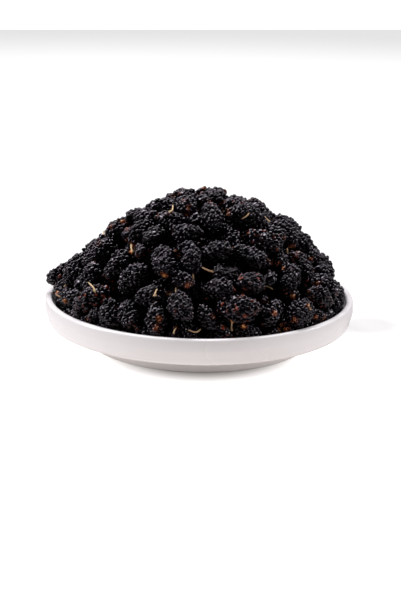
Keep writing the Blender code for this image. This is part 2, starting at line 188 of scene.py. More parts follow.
# Small mulberries in the gaps: where they are tried, how far they may press into others
GAP_TRIES = 800
GAP_DEPTHS = (3.5 * MM, 6.5 * MM, 9.5 * MM, 12.5 * MM, 16.0 * MM)
GAP_HEADINGS = 9
GAP_LIFTS = (-0.5, 0.0, 0.5)
GAP_SIZES = (0.66, 0.98)
GAP_PRESS = 1.3 * MM
GAP_REACH = 67.0 * MM
GAP_BALL_REACH = 71.0 * MM
GAP_STAND_OUT = 0.6 * MM
GAP_STEPS = 40
RIM_SPOTS = 72
RIM_SPOT_RADIUS = 66.8 * MM
RIM_SPOT_HEIGHTS = (19.5 * MM, 23.5 * MM)
RIM_SPOT_WEIGHT = 3.0 * MM

# The core: its mesh, and the lumps that stand for the fruit inside
CORE_SEGMENTS = 120
CORE_RINGS = 36
CORE_LUMPS = 130
CORE_LUMP_WIDTH = 5.0 * MM
CORE_LUMP_DEPTH = 3.5 * MM

# A fine mulberry: a smooth body, and a dome for every drupelet on the side that faces out
# of the heap. Each kind of fruit has domes down to this far round towards its back.
OUTER_REACH = -0.85
INNER_REACH = -0.6
BODY_SUBDIVISIONS = 3
DOME_SUBDIVISIONS = 2
CUT_DISTANCE = 1e-4
FRUITS_A_PIECE = 21
FRUIT_VALUES = ("crease", "tone", "dry", "ripe")
OUTLINE_STEPS = 160
CELL_AREA = 0.866
DRUPELET_JITTER = 0.2
DRUPELET_RANGE = (0.94, 1.28)
DRUPELET_SPREAD = 0.98
DRUPELET_RISE = 0.22 * MM
DRUPELET_SIZES = (0.82, 1.22)
DRUPELET_STRETCH = (0.9, 1.12)
FULLNESS = (0.74, 1.12)
BODY_SHARE = 0.82
SWELL = 0.3 * MM
LEAN = 0.16
DIMPLE_DEPTH = 0.8
DIMPLE_SHARE = 1.2
DIMPLE_WIDTH = 0.5
DIMPLE_SHIFT = 0.25
DENTS = (7, 12)
DENT_DEPTH = (-0.9 * MM, 1.8 * MM)
DENT_REACH = (2.0 * MM, 4.8 * MM)
RIPE_SHARE = 4.4
STALK_HOLLOW = 0.9 * MM
STALK_HOLLOW_REACH = 2.2 * MM
DRY_REACH = (1.6 * MM, 4.4 * MM)
END_FADE = 1.25

# Two effects that materials share: how high the wrinkles' ridges are, the scale and height
# of their swell, and the value of the noise where blotches of no, or of full, cover begin
WRINKLE_RIDGES = 2.2
WRINKLE_SWELL = (0.4, 0.8)
MOTTLE_LIMITS = (0.85, 0.15)
MOTTLE_EDGE = 0.22

# Each material: the size of its blotches, and for specks also their cover; its roughness,
# or its roughness out of and in the blotches; and the strength and depth of its bump
SKIN_BLOTCH = 3.0 * MM
SKIN_FLECK = 0.5 * MM
SKIN_SPECK = (0.7 * MM, 0.45)
SKIN_SPECK_ROUGHNESS = 0.08
SKIN_FIBRES = 2.5
SKIN_BUMP = (0.1, 0.1 * MM)
FLECK_MIDDLE = 0.6
CORE_BLOTCH = 2.4 * MM
CORE_ROUGHNESS = (0.55, 0.8)
CORE_SHINE = 0.015
CORE_WRINKLE = 1.8 * MM
CORE_BUMP = (0.8, 0.8 * MM)
STALK_BLOTCH = (1.2 * MM, 0.45)
STALK_BLOTCH_BROWN = 0.4
STALK_ROUGHNESS = 0.62
STALK_WRINKLE = 0.4 * MM
STALK_BUMP = (0.6, 0.1 * MM)
GLAZE_POOL = 26.0 * MM
GLAZE_POOLED = 0.5
GLAZE_SPECK = (1.1 * MM, 0.12)
GLAZE_SPECKED = 0.12
GLAZE_ROUGHNESS = (0.22, 0.3)
GLAZE_WAVE = 9.0 * MM
GLAZE_BUMP = (0.25, 0.12 * MM)
FLOOR_ROUGHNESS = 0.9
FLOOR_SHINE = 0.1

# How the skin changes with one of its values: from and to on that value, and then what its colour,
# painted shade or roughness is at both. The painted shade darkens the creases between drupelets
# towards near black, and less so at a dry end.
RED_RANGE = (0.35, 1.1)
DRY_RANGES = ((0.2, 0.5), (0.5, 0.8), (0.8, 1.05))
DRY_FLECKS = (0.1, 0.9, 0.3, 0.75)
PAINTED_CREASE_SHADE = (0.2, 0.8, 0.9, 0.0)
DRY_PAINTED_SHADE = (0.3, 0.9, 1.0, 0.35)
CREASE_ROUGHNESS = (0.1, 0.6, 0.22, 0.11)
DRY_ROUGHNESS = (0.2, 0.8, 0.0, 0.6)
# Near black towards which the creases are darkened, as painted shade
PAINTED_SHADE_COLOUR = (0.001, 0.0008, 0.001)
CORE_COLOUR = (0.0004, 0.0003, 0.0004)

# Dried ends that the photograph shows: their pixel, their reach in mm, and how far they
# have gone from red (0.4) over amber (0.8) to cream (1.2)
DRY_ENDS = (
    (132, 245, 2.0, 1.1), (132, 251, 2.2, 1.3), (164, 275, 2.4, 1.25), (187, 286, 2.2, 1.0),
    (186, 291, 2.0, 0.8), (65, 301, 1.9, 1.2), (175, 250, 2.0, 0.8), (179, 256, 2.4, 0.62),
    (122, 221, 3.0, 0.85), (126, 228, 3.0, 0.7), (168, 214, 2.8, 0.6), (185, 199, 3.2, 0.6),
    (187, 214, 3.8, 0.68), (159, 319, 2.4, 1.0), (156, 328, 3.0, 0.75), (232, 322, 1.7, 1.35),
    (232, 329, 2.0, 0.95), (244, 326, 2.1, 1.2), (275, 313, 2.4, 1.0), (280, 329, 2.8, 0.75),
    (293, 296, 2.4, 1.1), (267, 260, 3.0, 0.75), (271, 263, 2.8, 0.68), (292, 247, 3.0, 0.8),
    (297, 252, 2.8, 0.7), (309, 306, 2.4, 0.85), (316, 317, 2.4, 0.8), (317, 284, 3.4, 0.68),
    (212, 203, 3.0, 0.75), (208, 300, 2.6, 0.65), (213, 317, 2.8, 0.65), (99, 243, 3.4, 0.55),
    (311, 258, 2.0, 0.85), (283, 268, 1.8, 0.9), (57, 292, 1.6, 1.1), (277, 249, 1.8, 0.8),
)
# Loose stalks: both ends in its pixels, their bend to one side in mm, how thick the end
# knob is, and how brown they are
LOOSE_STALKS = (
    ((88, 282), (95, 292), -0.6, 1.9, 0.0), ((157, 289), (155, 296), 0.3, 2.4, 0.15),
    ((188, 330), (201, 329), 1.4, 1.0, 0.55), ((260, 287), (269, 291), 1.3, 1.7, 0.1),
    ((173, 205), (169, 212), -0.9, 1.6, 0.1), ((242, 219), (249, 213), 0.4, 0.8, 0.6),
    ((139, 321), (138, 331), -0.8, 0.9, 0.8), ((131, 244), (133, 252), 0.4, 1.3, 0.1),
    ((232, 322), (232, 331), 0.2, 1.6, 0.2), ((176, 328), (174, 334), 0.4, 1.5, 0.35),
    ((51, 288), (54, 294), 0.3, 1.2, 0.1), ((309, 303), (311, 310), 0.5, 1.0, 0.7),
)

# Stalks and stubs: tapers, thicknesses, knobs and tips are shares of the radius in the
# settings, and a loose stalk's arch is a power that shifts where it bends most
STALK_SIDES = 7
STALK_ROOT = 1.6 * MM
STUB_SHARE = 0.16
STUB_LENGTH = (0.6 * MM, 2.4 * MM)
STUB_CURL = 0.9
STUB_LIFT = 1 / 3
STUB_STEPS = 5
STALK_TAPER = (1.25, 0.7)
STALK_THICKNESS = (0.8, 1.15)
STALK_KNOB = (0.7, 1.5)
STALK_TIP = 0.6
STALK_BROWNS = (0.1, 0.9)
LOOSE_STEPS = 10
LOOSE_LIFT = (0.2 * MM, 0.6 * MM)
LOOSE_DROP = 2.5 * MM
LOOSE_ARCH = 1.3
LOOSE_START = (0.35, 0.6)
LOOSE_TAPER = (0.75, 0.95)

# The floor: how far from a point just in front of the bowl's middle it turns white to the camera,
# where it gets greyer far behind, where the painted soft shadow to the bowl's right lies and how
# dark it is, where its far edge is, and how far out it throws less light back
GLOW_CENTRE = (0.001, -0.022, 0.0)
GLOW_REACH = (0.03, 0.053)
GLOW_LIGHT = 0.58
GLOW_TINT = (1.0, 0.93, 0.86)
FAR_REACH = (0.9, 1.25)
FAR_SEEN = 0.74
SHADE_CENTRE = (0.086, 0.024, 0.0)
SHADE_REACH = (0.008, 0.036)
SHADE = 0.53
FLOOR_SIZE = 3.0
FLOOR_EDGE = 1.2464
FLOOR_TURN = math.radians(7.65)
FLOOR_REACH = (0.09, 0.15)
NEAR_FLOOR = 0.65
FAR_FLOOR = 0.15
GRAIN = 0.03
GRAIN_SIZE = 60 * MM

# The surroundings: how bright the camera sees them, and what share of them is reflected
SKY_SEEN = 1.2
SKY_SHINE = 0.02

# Soft lights that face the heap: their name, place, and width and height
LIGHT_TINT = (0.99, 0.975, 1.02)
FRONT_TINT = (1.0, 0.975, 0.965)
LIGHTS = (
    ("top", (-0.1, 0.35, 0.8), (0.9, 0.2)),
    ("left", (-0.8, 0.0, 0.5), (0.3, 0.3)),
    ("right", (0.82, 0.1, 0.42), (0.3, 0.3)),
    ("front", (0.05, -0.55, 0.75), (0.5, 0.5)),
)
LIGHT_AIM = (0, 0, 30 * MM)

# The camera, fitted to the photograph
PHOTO_WIDTH = 401
PHOTO_HEIGHT = 601
FOCAL_PIXELS = 1627.2
SENSOR = 36.0
CAMERA_DISTANCE = 0.8
CAMERA_ELEVATION = math.radians(17.54)
CAMERA_ROLL = math.radians(0.93)
CAMERA_AIM = (0.65 * MM, 0, 18.6 * MM)
CLIP = (0.01, 20.0)


def lengths(vectors):
    """The length of each vector, which runs along the last axis."""
    return np.linalg.norm(vectors, axis=-1)


def positive(values):
    """The values, with 0 for all that are negative."""
    return np.clip(values, 0, None)


def dome(share, edge, rise, power):
    """Height of a dome where share of its reach lies between the centre and the point."""
    return edge + rise * (1 - share**power)


def dome_slope(share, reach, rise, power):
    """How steeply that dome falls there."""
    return rise * power * share ** (power - 1) / reach


def under_heap(points):
    """Depth of each point under the heap's outside, and the outward normal there."""
    rise = np.clip((points[:, 2] - BOWL_HEIGHT) / HEAP_RISE, 0, 1)
    flat = points[:, :2] - np.outer(rise * HEAP_LEAN, (1, 0))
    radius = lengths(flat) + TINY
    share = np.clip(radius / HEAP_REACH, 0, HEAP_FOLLOWED)
    height = dome(share, BOWL_HEIGHT, HEAP_RISE, HEAP_POWER)
    slope = dome_slope(share, HEAP_REACH, HEAP_RISE, HEAP_POWER)
    steep = np.sqrt(1 + slope**2)
    normal = np.column_stack([flat * (slope / radius)[:, None], np.ones(len(radius))])
    return (height - points[:, 2]) / steep, normal / steep[:, None]


def above_core(points):
    """Height of each point over the core's dome, square to it."""
    share = np.clip(lengths(points[:, :2]) / CORE_REACH, 0, 1)
    height = dome(share, CORE_EDGE, CORE_RISE, CORE_POWER)
    slope = dome_slope(share, CORE_REACH, CORE_RISE, CORE_POWER)
    return (points[:, 2] - height) / np.sqrt(1 + slope**2)


def spots_on_heap(count, first_angle, depth):
    """Evenly spread points on the heap, by the golden angle, at one depth."""
    radius = np.linspace(0, HEAP_REACH, HEAP_STEPS)
    share = radius / HEAP_REACH
    slope = dome_slope(share, HEAP_REACH, HEAP_RISE, HEAP_POWER)
    area = np.cumsum(radius * np.sqrt(1 + slope**2))
    at = np.interp((np.arange(count) + 0.5) / count * area[-1], area, radius)
    angle = first_angle + GOLDEN_ANGLE * np.arange(count)
    height = dome(at / HEAP_REACH, BOWL_HEIGHT, HEAP_RISE, HEAP_POWER)
    points = np.column_stack([at * np.cos(angle), at * np.sin(angle), height])
    points[:, 0] += HEAP_LEAN * (height - BOWL_HEIGHT) / HEAP_RISE
    return points - depth * under_heap(points)[1]


def on_heap(x, y):
    """The points of the heap's outside over some x and y."""
    lean = 0
    for _ in range(LEAN_STEPS):
        share = np.clip(np.hypot(x - lean, y) / HEAP_REACH, 0, 1)
        height = dome(share, BOWL_HEIGHT, HEAP_RISE, HEAP_POWER)
        lean = HEAP_LEAN * (height - BOWL_HEIGHT) / HEAP_RISE
    return np.column_stack([x, y, height])


def free_spots(taken):
    """Evenly spread spots for the pairs, well away from the places already taken."""
    total = PAIR_COUNT
    while True:
        spots = spots_on_heap(total, PAIR_FIRST_ANGLE, PAIR_DEPTH)
        nearest = lengths(spots[:, None] - taken[None]).min(axis=1)
        free = spots[nearest > PAIR_SPACING]
        if len(free) >= PAIR_COUNT:
            return free[:PAIR_COUNT]
        total += 1


def turned_to(along, up):
    """A rotation whose X runs along one direction, with Z as near as can be to up."""
    x = along / np.linalg.norm(along)
    y = np.cross(up, x)
    y /= np.linalg.norm(y)
    return np.column_stack([x, y, np.cross(x, y)])


def lie(centre, heading, lift):
    """A rotation that lays a mulberry along the heap's side, its tip lifted a little."""
    normal = under_heap(centre[None])[1][0]
    flat = np.array([math.cos(heading), math.sin(heading)])
    along = np.append(flat, -(flat @ normal[:2]) / normal[2])
    along *= math.cos(lift) / np.linalg.norm(along)
    return turned_to(along + math.sin(lift) * normal, normal)


class Berry:
    """One mulberry's size, and its place in the clump that it belongs to."""

    def __init__(self, rng, stalk=False, sizes=SIZE_RANGE):
        self.size = rng.uniform(*sizes)
        self.plump = rng.uniform(*PLUMPNESS_RANGE)
        self.bend = rng.uniform(*BEND_RANGE)
        self.stalk = stalk
        self.at = np.zeros(3)
        self.turn = np.eye(3)
        place, radius = np.array(BERRY_BALLS).T * MM * self.size
        self.places = place
        self.radii = radius * self.plump
        self.low_end = place[0] - self.radii[0]
        self.high_end = place[-1] + self.radii[-1]
        self.middle = (self.high_end + self.low_end) / 2
        self.half = (self.high_end - self.low_end) / 2

    def bent(self, points):
        """Points moved sideways by the fruit's bend."""
        out = points.copy()
        out[:, 1] += self.bend * ((points[:, 0] / self.high_end) ** 2 - BEND_OFFSET)
        return out

    def balls(self):
        """Centres and radii of the balls that keep it clear of others, in its own frame."""
        zero = 0 * self.places
        centres = self.bent(np.column_stack([self.places, zero, zero]))
        if not self.stalk:
            return centres, self.radii
        clear = np.full(len(STALK_REACHES), STALK_CLEAR)
        return np.vstack([centres, self.stalk_path()]), np.concatenate([self.radii, clear])

    def stalk_path(self):
        """Points along the middle of its stalk, from the fruit outwards."""
        reach = np.array(STALK_REACHES)
        curl = STALK_CURL * (reach / reach[-1]) ** 2
        start = self.bent(np.array([[self.low_end, 0, 0]]))
        return start + np.column_stack([-reach, curl, 0 * reach])

    def outline(self, x):
        """Radius of the outline at each x on the long axis."""
        inside = self.radii**2 - (x[:, None] - self.places) ** 2
        return np.sqrt(positive(inside.max(axis=1)))


def new_pair(rng):
    """Two mulberries stuck together side by side."""
    first = Berry(rng)
    second = Berry(rng)
    ranges = PAIR_TURN, PAIR_TILT, PAIR_SLIDE, PAIR_STEP
    heading, tilt, slide, step = rng.uniform(-1, 1, 4) * ranges
    along = np.array([math.cos(heading), math.sin(heading), tilt])
    second.turn = turned_to(along, np.array([0, 0, 1.0]))
    second.at = np.array([slide, 0, step])
    second.at[1] = side_shift(first, second)
    return [first, second]


def side_shift(first, second):
    """How far along Y the second mulberry stands off to sink a set depth into the first."""
    one, one_radii = first.balls()
    two, two_radii = second.balls()
    apart = (two @ second.turn.T + second.at)[:, None] - one[None]
    reach = two_radii[:, None] + one_radii[None] - PAIR_OVERLAP
    room = reach**2 - apart[:, :, 0] ** 2 - apart[:, :, 2] ** 2
    return (np.sqrt(positive(room)) - apart[:, :, 1])[room > 0].max()


class Heap:
    """All clumps as rigid groups of balls, which push apart until they lie clear."""

    def __init__(self):
        rng = np.random.default_rng(SEED)
        x, y, headings, lifts, depths = np.array(SINGLES, float).T
        outside = on_heap(x * MM, y * MM)
        singles = outside - MM * depths[:, None] * under_heap(outside)[1]
        bed = spots_on_heap(BED_COUNT, BED_FIRST_ANGLE, BED_DEPTH)
        self.centre = np.vstack([bed, singles, free_spots(singles)])
        self.clumps = [[Berry(rng)] for _ in range(BED_COUNT)]
        self.clumps += [[Berry(rng, n % STALK_EVERY == 1)] for n in range(len(SINGLES))]
        self.clumps += [new_pair(rng) for _ in range(PAIR_COUNT)]
        number = np.arange(len(self.clumps))
        self.is_bed = number < BED_COUNT
        self.is_pair = number >= BED_COUNT + len(SINGLES)
        heading = rng.uniform(0, 2 * math.pi, len(number))
        lift = rng.normal(0, LIFT_SPREAD, len(number))
        is_single = ~self.is_bed & ~self.is_pair
        heading[is_single] = np.radians(headings)
        lift[is_single] = np.radians(lifts)
        self.depth = np.full(len(number), BED_DEPTH)
        self.depth[is_single] = depths * MM
        self.turn = np.array([lie(*place) for place in zip(self.centre, heading, lift)])
        self.gather_balls()

    def gather_balls(self):
        """Lists every clump's balls, placed about the clump's middle."""
        owner, offset, radius = [], [], []
        for number, berries in enumerate(self.clumps):
            for berry in berries:
                centres, radii = berry.balls()
                offset.append(centres @ berry.turn.T + berry.at)
                radius.append(radii)
                owner += [number] * len(radii)
        self.owner = np.array(owner)
        self.radius = np.concatenate(radius)
        offset = np.vstack(offset)
        self.middle = self.per_clump(offset)
        self.offset = offset - self.middle[self.owner]
        mobility = np.where(self.is_bed, BED_MOBILITY, SINGLE_MOBILITY)
        self.mobility = np.where(self.is_pair, 1.0, mobility)[self.owner]

    def per_clump(self, values):
        """Mean of the balls' values in each clump."""
        sums = [np.bincount(self.owner, column) for column in values.T]
        return np.column_stack(sums) / np.bincount(self.owner)[:, None]

    def ball_places(self):
        """Centres of all balls."""
        offset = np.einsum("nij,nj->ni", self.turn[self.owner], self.offset)
        return self.centre[self.owner] + offset

    def find_neighbours(self, places):
        """Pairs of balls of different clumps that are near enough to meet soon."""
        apart = lengths(places[:, None] - places[None])
        reach = self.radius[:, None] + self.radius[None] + CLEARANCE + NEIGHBOUR_RANGE
        near = (apart < reach) & (self.owner[:, None] < self.owner[None])
        return np.nonzero(near)

    def push_apart(self, places, pairs):
        """How far each ball moves to come clear of other clumps, and the worst overlap."""
        one, two = pairs
        apart = places[one] - places[two]
        distance = lengths(apart) + TINIEST
        overlap = positive(self.radius[one] + self.radius[two] + CLEARANCE - distance)
        total = self.mobility[one] + self.mobility[two]
        push = apart * (overlap / distance / total)[:, None]
        move = np.zeros_like(places)
        np.add.at(move, one, push * self.mobility[one][:, None])
        np.add.at(move, two, -push * self.mobility[two][:, None])
        return move, overlap.max()

    def push_off_bowl(self, places):
        """How far each ball moves to come clear of the bowl's wall and floor."""
        out = lengths(places[:, :2])
        near_out = np.clip(out, BOWL_RADIUS - WALL, BOWL_RADIUS)
        over_rim = positive(places[:, 2] - BOWL_HEIGHT)
        gap = np.column_stack([out - near_out, over_rim])
        distance = lengths(gap)
        inside = (distance < TOUCHING)[:, None]
        way = np.where(inside, (-1.0, 0.0), gap / (distance[:, None] + TINIEST))
        short = positive(self.radius + CLEARANCE - distance)
        outward = places[:, :2] / (out[:, None] + TINIEST)
        move = np.zeros_like(places)
        move[:, :2] = outward * (way[:, 0] * short)[:, None]
        move[:, 2] = way[:, 1] * short
        move[:, 2] += positive(FLOOR_TOP + self.radius + CLEARANCE - places[:, 2])
        move[:, :2] -= outward * positive(out + self.radius - OVERHANG)[:, None]
        return move

    def push_in(self, places):
        """How far each ball of a pair moves in to stand out no further than the rest."""
        depth, normal = under_heap(places)
        excess = positive(self.radius - depth - STAND_OUT)
        return (HOLD * excess * self.is_pair[self.owner])[:, None] * normal

    def push_off_core(self, places):
        """How far each loose ball moves to come clear of the core."""
        short = positive(self.radius + CLEARANCE - above_core(places))
        short[self.is_bed[self.owner]] = 0
        return short[:, None] * under_heap(places)[1]

    def settle(self):
        """Runs the settling, and leaves every clump clear of the others."""
        for step in range(SETTLE_STEPS):
            places = self.ball_places()
            if step % NEIGHBOUR_EVERY == 0:
                pairs = self.find_neighbours(places)
            move = self.push_apart(places, pairs)[0]
            move += self.push_off_bowl(places) + self.push_off_core(places)
            depth, normal = under_heap(self.centre)
            if step < SETTLE_STEPS - CALM_STEPS:
                pull = np.where(self.is_pair, -SINK_STEP, HOLD * (depth - self.depth))
                move += (pull[:, None] * normal)[self.owner] - self.push_in(places)
            self.match(places + move)

    def match(self, wanted):
        """Moves each clump, kept rigid, as near as it goes to where its balls want to be."""
        self.centre = np.round(self.per_clump(wanted), ROUNDED_TO)
        spread = wanted - self.centre[self.owner]
        fit = KEEP_TURN * self.turn
        np.add.at(fit, self.owner, spread[:, :, None] * self.offset[:, None])
        u, _, vt = np.linalg.svd(fit)
        u[:, :, 2] *= np.linalg.det(u @ vt)[:, None]
        self.turn = np.round(u @ vt, ROUNDED_TO)

    def placed(self, number):
        """Each berry of a clump, with the turn and the place that it has in the bowl's frame."""
        for berry in self.clumps[number]:
            place = self.centre[number] + self.turn[number] @ (berry.at - self.middle[number])
            yield berry, self.turn[number] @ berry.turn, place


@functools.cache
def settled_heap():
    """The heap, settled as the frame's nodes are."""
    heap = Heap()
    heap.settle()
    return heap


def overlap_with(places, radii, others, other_radii):
    """How deep each ball lies in the others, and the sum of the pushes that would free it."""
    apart = places[:, None] - others[None]
    distance = lengths(apart) + TINIEST
    deep = positive(radii[:, None] + other_radii[None] - GAP_PRESS - distance)
    push = (apart / distance[:, :, None] * deep[:, :, None]).sum(axis=1)
    return deep.max(axis=1), push


def off_bowl(balls, radii):
    """How far a small mulberry moves to stay inside the bowl's wall and over its floor."""
    out = lengths(balls[:, :2])
    over = out + radii - np.where(balls[:, 2] > BOWL_HEIGHT + radii, BOWL_RADIUS, GAP_BALL_REACH)
    worst = over.argmax()
    inward = -max(over[worst], 0) * balls[worst, :2] / (out[worst] + TINY)
    rise = max((FLOOR_TOP + radii - balls[:, 2]).max(), 0)
    return np.append(inward, rise)


def gap_spots():
    """Places in the heap where a small mulberry could lie, and how much each is favoured."""
    layers = [spots_on_heap(GAP_TRIES, depth / MM, depth) for depth in GAP_DEPTHS]
    spots = np.vstack(layers)
    low = FLOOR_TOP + GAP_SIZES[0] * BERRY_BALLS[2][1] * MM
    inside = np.hypot(spots[:, 0], spots[:, 1]) < GAP_REACH
    spots = spots[inside & (spots[:, 2] > low) & (above_core(spots) > 0)]
    angle = np.linspace(0, 2 * math.pi, RIM_SPOTS, endpoint=False)
    height = np.resize(RIM_SPOT_HEIGHTS, RIM_SPOTS)
    x, y = RIM_SPOT_RADIUS * np.array([np.cos(angle), np.sin(angle)])
    weight = np.repeat([0, RIM_SPOT_WEIGHT], [len(spots), RIM_SPOTS])
    return np.vstack([spots, np.column_stack([x, y, height])]), weight


def gap_fruits(count):
    """Small mulberries for the widest gaps: each berry with its turn and place."""
    heap = settled_heap()
    rng = np.random.default_rng(SEED + 1)
    others, radii = heap.ball_places(), heap.radius
    spots, weight = gap_spots()
    room = (lengths(spots[:, None] - others[None]) - radii).min(axis=1)
    out = []
    for _ in range(count):
        best = (room + weight).argmax()
        spot = spots[best]
        size = np.clip((room[best] + GAP_PRESS) / (BERRY_BALLS[2][1] * MM), *GAP_SIZES)
        berry = Berry(rng, sizes=(size, size))
        centres, berry_radii = berry.balls()
        first = rng.uniform(0, 2 * math.pi)
        headings = first + np.arange(GAP_HEADINGS) * 2 * math.pi / GAP_HEADINGS
        turns = [lie(spot, heading, lift) for heading in headings for lift in GAP_LIFTS]
        tried = [centres @ turn.T + spot for turn in turns]
        depths = [overlap_with(balls, berry_radii, others, radii)[0].max() for balls in tried]
        turn = turns[int(np.argmin(depths))]
        place = spot.copy()
        for _ in range(GAP_STEPS):
            balls = centres @ turn.T + place
            place += overlap_with(balls, berry_radii, others, radii)[1].mean(axis=0)
            place += off_bowl(balls, berry_radii)
            depth, normal = under_heap(balls)
            excess = positive(berry_radii - depth - GAP_STAND_OUT)
            place -= HOLD * excess.max() * normal[excess.argmax()]
        place = np.round(place, ROUNDED_TO)
        balls = centres @ turn.T + place
        others = np.vstack([others, balls])
        radii = np.concatenate([radii, berry_radii])
        near = (lengths(spots[:, None] - balls[None]) - berry_radii).min(axis=1)
        room = np.minimum(room, near)
        room[best] = -1
        out.append((berry, turn, place))
    return out


def feed(tree, socket, value):
    """Links a socket to an input, or sets the input's own value."""
    if isinstance(value, bpy.types.NodeSocket):
        tree.links.new(value, socket)
    elif socket.type == "RGBA":
        socket.default_value = (*value[:3], 1)
    else:
        socket.default_value = value


def add_node(tree, kind, inputs=None, **settings):
    """Adds a shader node; an input is given a value, or a socket to link from."""
    node = tree.nodes.new(kind)
    for name, value in settings.items():
        setattr(node, name, value)
    for name, value in (inputs or {}).items():
        feed(tree, node.inputs[name], value)
    return node


def maths(tree, operation, *values):
    """The result of a maths node."""
    return add_node(tree, "ShaderNodeMath", dict(enumerate(values)), operation=operation).outputs[0]


def product(tree, one, two):
    """One value times another."""
    return maths(tree, "MULTIPLY", one, two)


def measured(tree, operation, *vectors):
    """The number that a vector maths node gives."""
    inputs = dict(enumerate(vectors))
    return add_node(tree, "ShaderNodeVectorMath", inputs, operation=operation).outputs["Value"]


def blended(tree, share, one, two, kind="MIX"):
    """The colour between two colours, which are inputs 6 and 7 of a mix node."""
    inputs = {0: share, 6: one, 7: two}
    return add_node(tree, "ShaderNodeMix", inputs, data_type="RGBA", blend_type=kind).outputs[2]


def ranged(tree, value, low, high, new_low=0.0, new_high=1.0):
    """A value brought smoothly from one range into another."""
    inputs = dict(enumerate((value, low, high, new_low, new_high)))
    return add_node(tree, "ShaderNodeMapRange", inputs, interpolation_type="SMOOTHSTEP").outputs[0]


def stored(tree, name):
    """A value that the mesh stores at its points."""
    return add_node(tree, "ShaderNodeAttribute", attribute_name=name).outputs["Fac"]


def noise(tree, vector, scale, detail=2.0, roughness=0.55):
    """The value of a noise texture."""
    inputs = {"Vector": vector, "Scale": scale, "Detail": detail, "Roughness": roughness}
    return add_node(tree, "ShaderNodeTexNoise", inputs).outputs["Fac"]


def bumped(tree, height, strength, depth):
    """The normal of a surface that follows a height."""
    inputs = {"Height": height, "Strength": strength, "Distance": depth}
    return add_node(tree, "ShaderNodeBump", inputs).outputs["Normal"]


def new_group(name, numbers, output):
    """A shader node group that reads a vector and some numbers: its tree, inputs and output."""
    tree = bpy.data.node_groups.new(name, "ShaderNodeTree")
    tree.interface.new_socket("Vector", in_out="INPUT", socket_type="NodeSocketVector")
    for label, default in numbers.items():
        socket = tree.interface.new_socket(label, in_out="INPUT", socket_type="NodeSocketFloat")
        socket.default_value = default
    tree.interface.new_socket(output, in_out="OUTPUT", socket_type="NodeSocketFloat")
    given, result = tree.nodes.new("NodeGroupInput"), tree.nodes.new("NodeGroupOutput")
    return tree, given.outputs, result.inputs[0]


@functools.cache
def wrinkle_group():
    """Fine dry wrinkles of a chosen size, as a height from 0 to 1."""
    tree, given, result = new_group("dry_wrinkles", {"Size": 0.5 * MM}, "Height")
    scale = maths(tree, "DIVIDE", 1.0, given["Size"])
    folds = maths(tree, "SUBTRACT", noise(tree, given["Vector"], scale, 3.0, 0.6), 0.5)
    ridges = product(tree, maths(tree, "ABSOLUTE", folds), WRINKLE_RIDGES)
    swell = noise(tree, given["Vector"], product(tree, scale, WRINKLE_SWELL[0]), 1.0, 0.5)
    feed(tree, result, maths(tree, "ADD", ridges, product(tree, swell, WRINKLE_SWELL[1])))
    return tree


@functools.cache
def mottle_group():
    """Soft blotches of a chosen size: how much of the surface they cover, from 0 to 1."""
    tree, given, result = new_group("mottle", {"Size": 4 * MM, "Cover": 0.5}, "Mask")
    blotches = noise(tree, given["Vector"], maths(tree, "DIVIDE", 1.0, given["Size"]), 3.0)
    none, full = MOTTLE_LIMITS
    low = maths(tree, "SUBTRACT", none, product(tree, given["Cover"], none - full))
    feed(tree, result, ranged(tree, blotches, low, maths(tree, "ADD", low, MOTTLE_EDGE)))
    return tree


def mottled(tree, coords, size, cover=0.5):
    """How much soft blotches of one size cover each point."""
    inputs = {"Vector": coords, "Size": size, "Cover": cover}
    return add_node(tree, "ShaderNodeGroup", inputs, node_tree=mottle_group()).outputs[0]


def wrinkled(tree, coords, size):
    """The height of fine dry wrinkles of one size."""
    inputs = {"Vector": coords, "Size": size}
    return add_node(tree, "ShaderNodeGroup", inputs, node_tree=wrinkle_group()).outputs[0]


def new_material(name):
    """A material, its node tree and its Object coordinates."""
    material = bpy.data.materials.new(name)
    material.use_nodes = True
    tree = material.node_tree
    return material, tree, add_node(tree, "ShaderNodeTexCoord").outputs["Object"]


def finished(material, inputs):
    """The material, once its shader has what it reads."""
    shader = material.node_tree.nodes["Principled BSDF"]
    for name, value in inputs.items():
        feed(material.node_tree, shader.inputs[name], value)
    return material


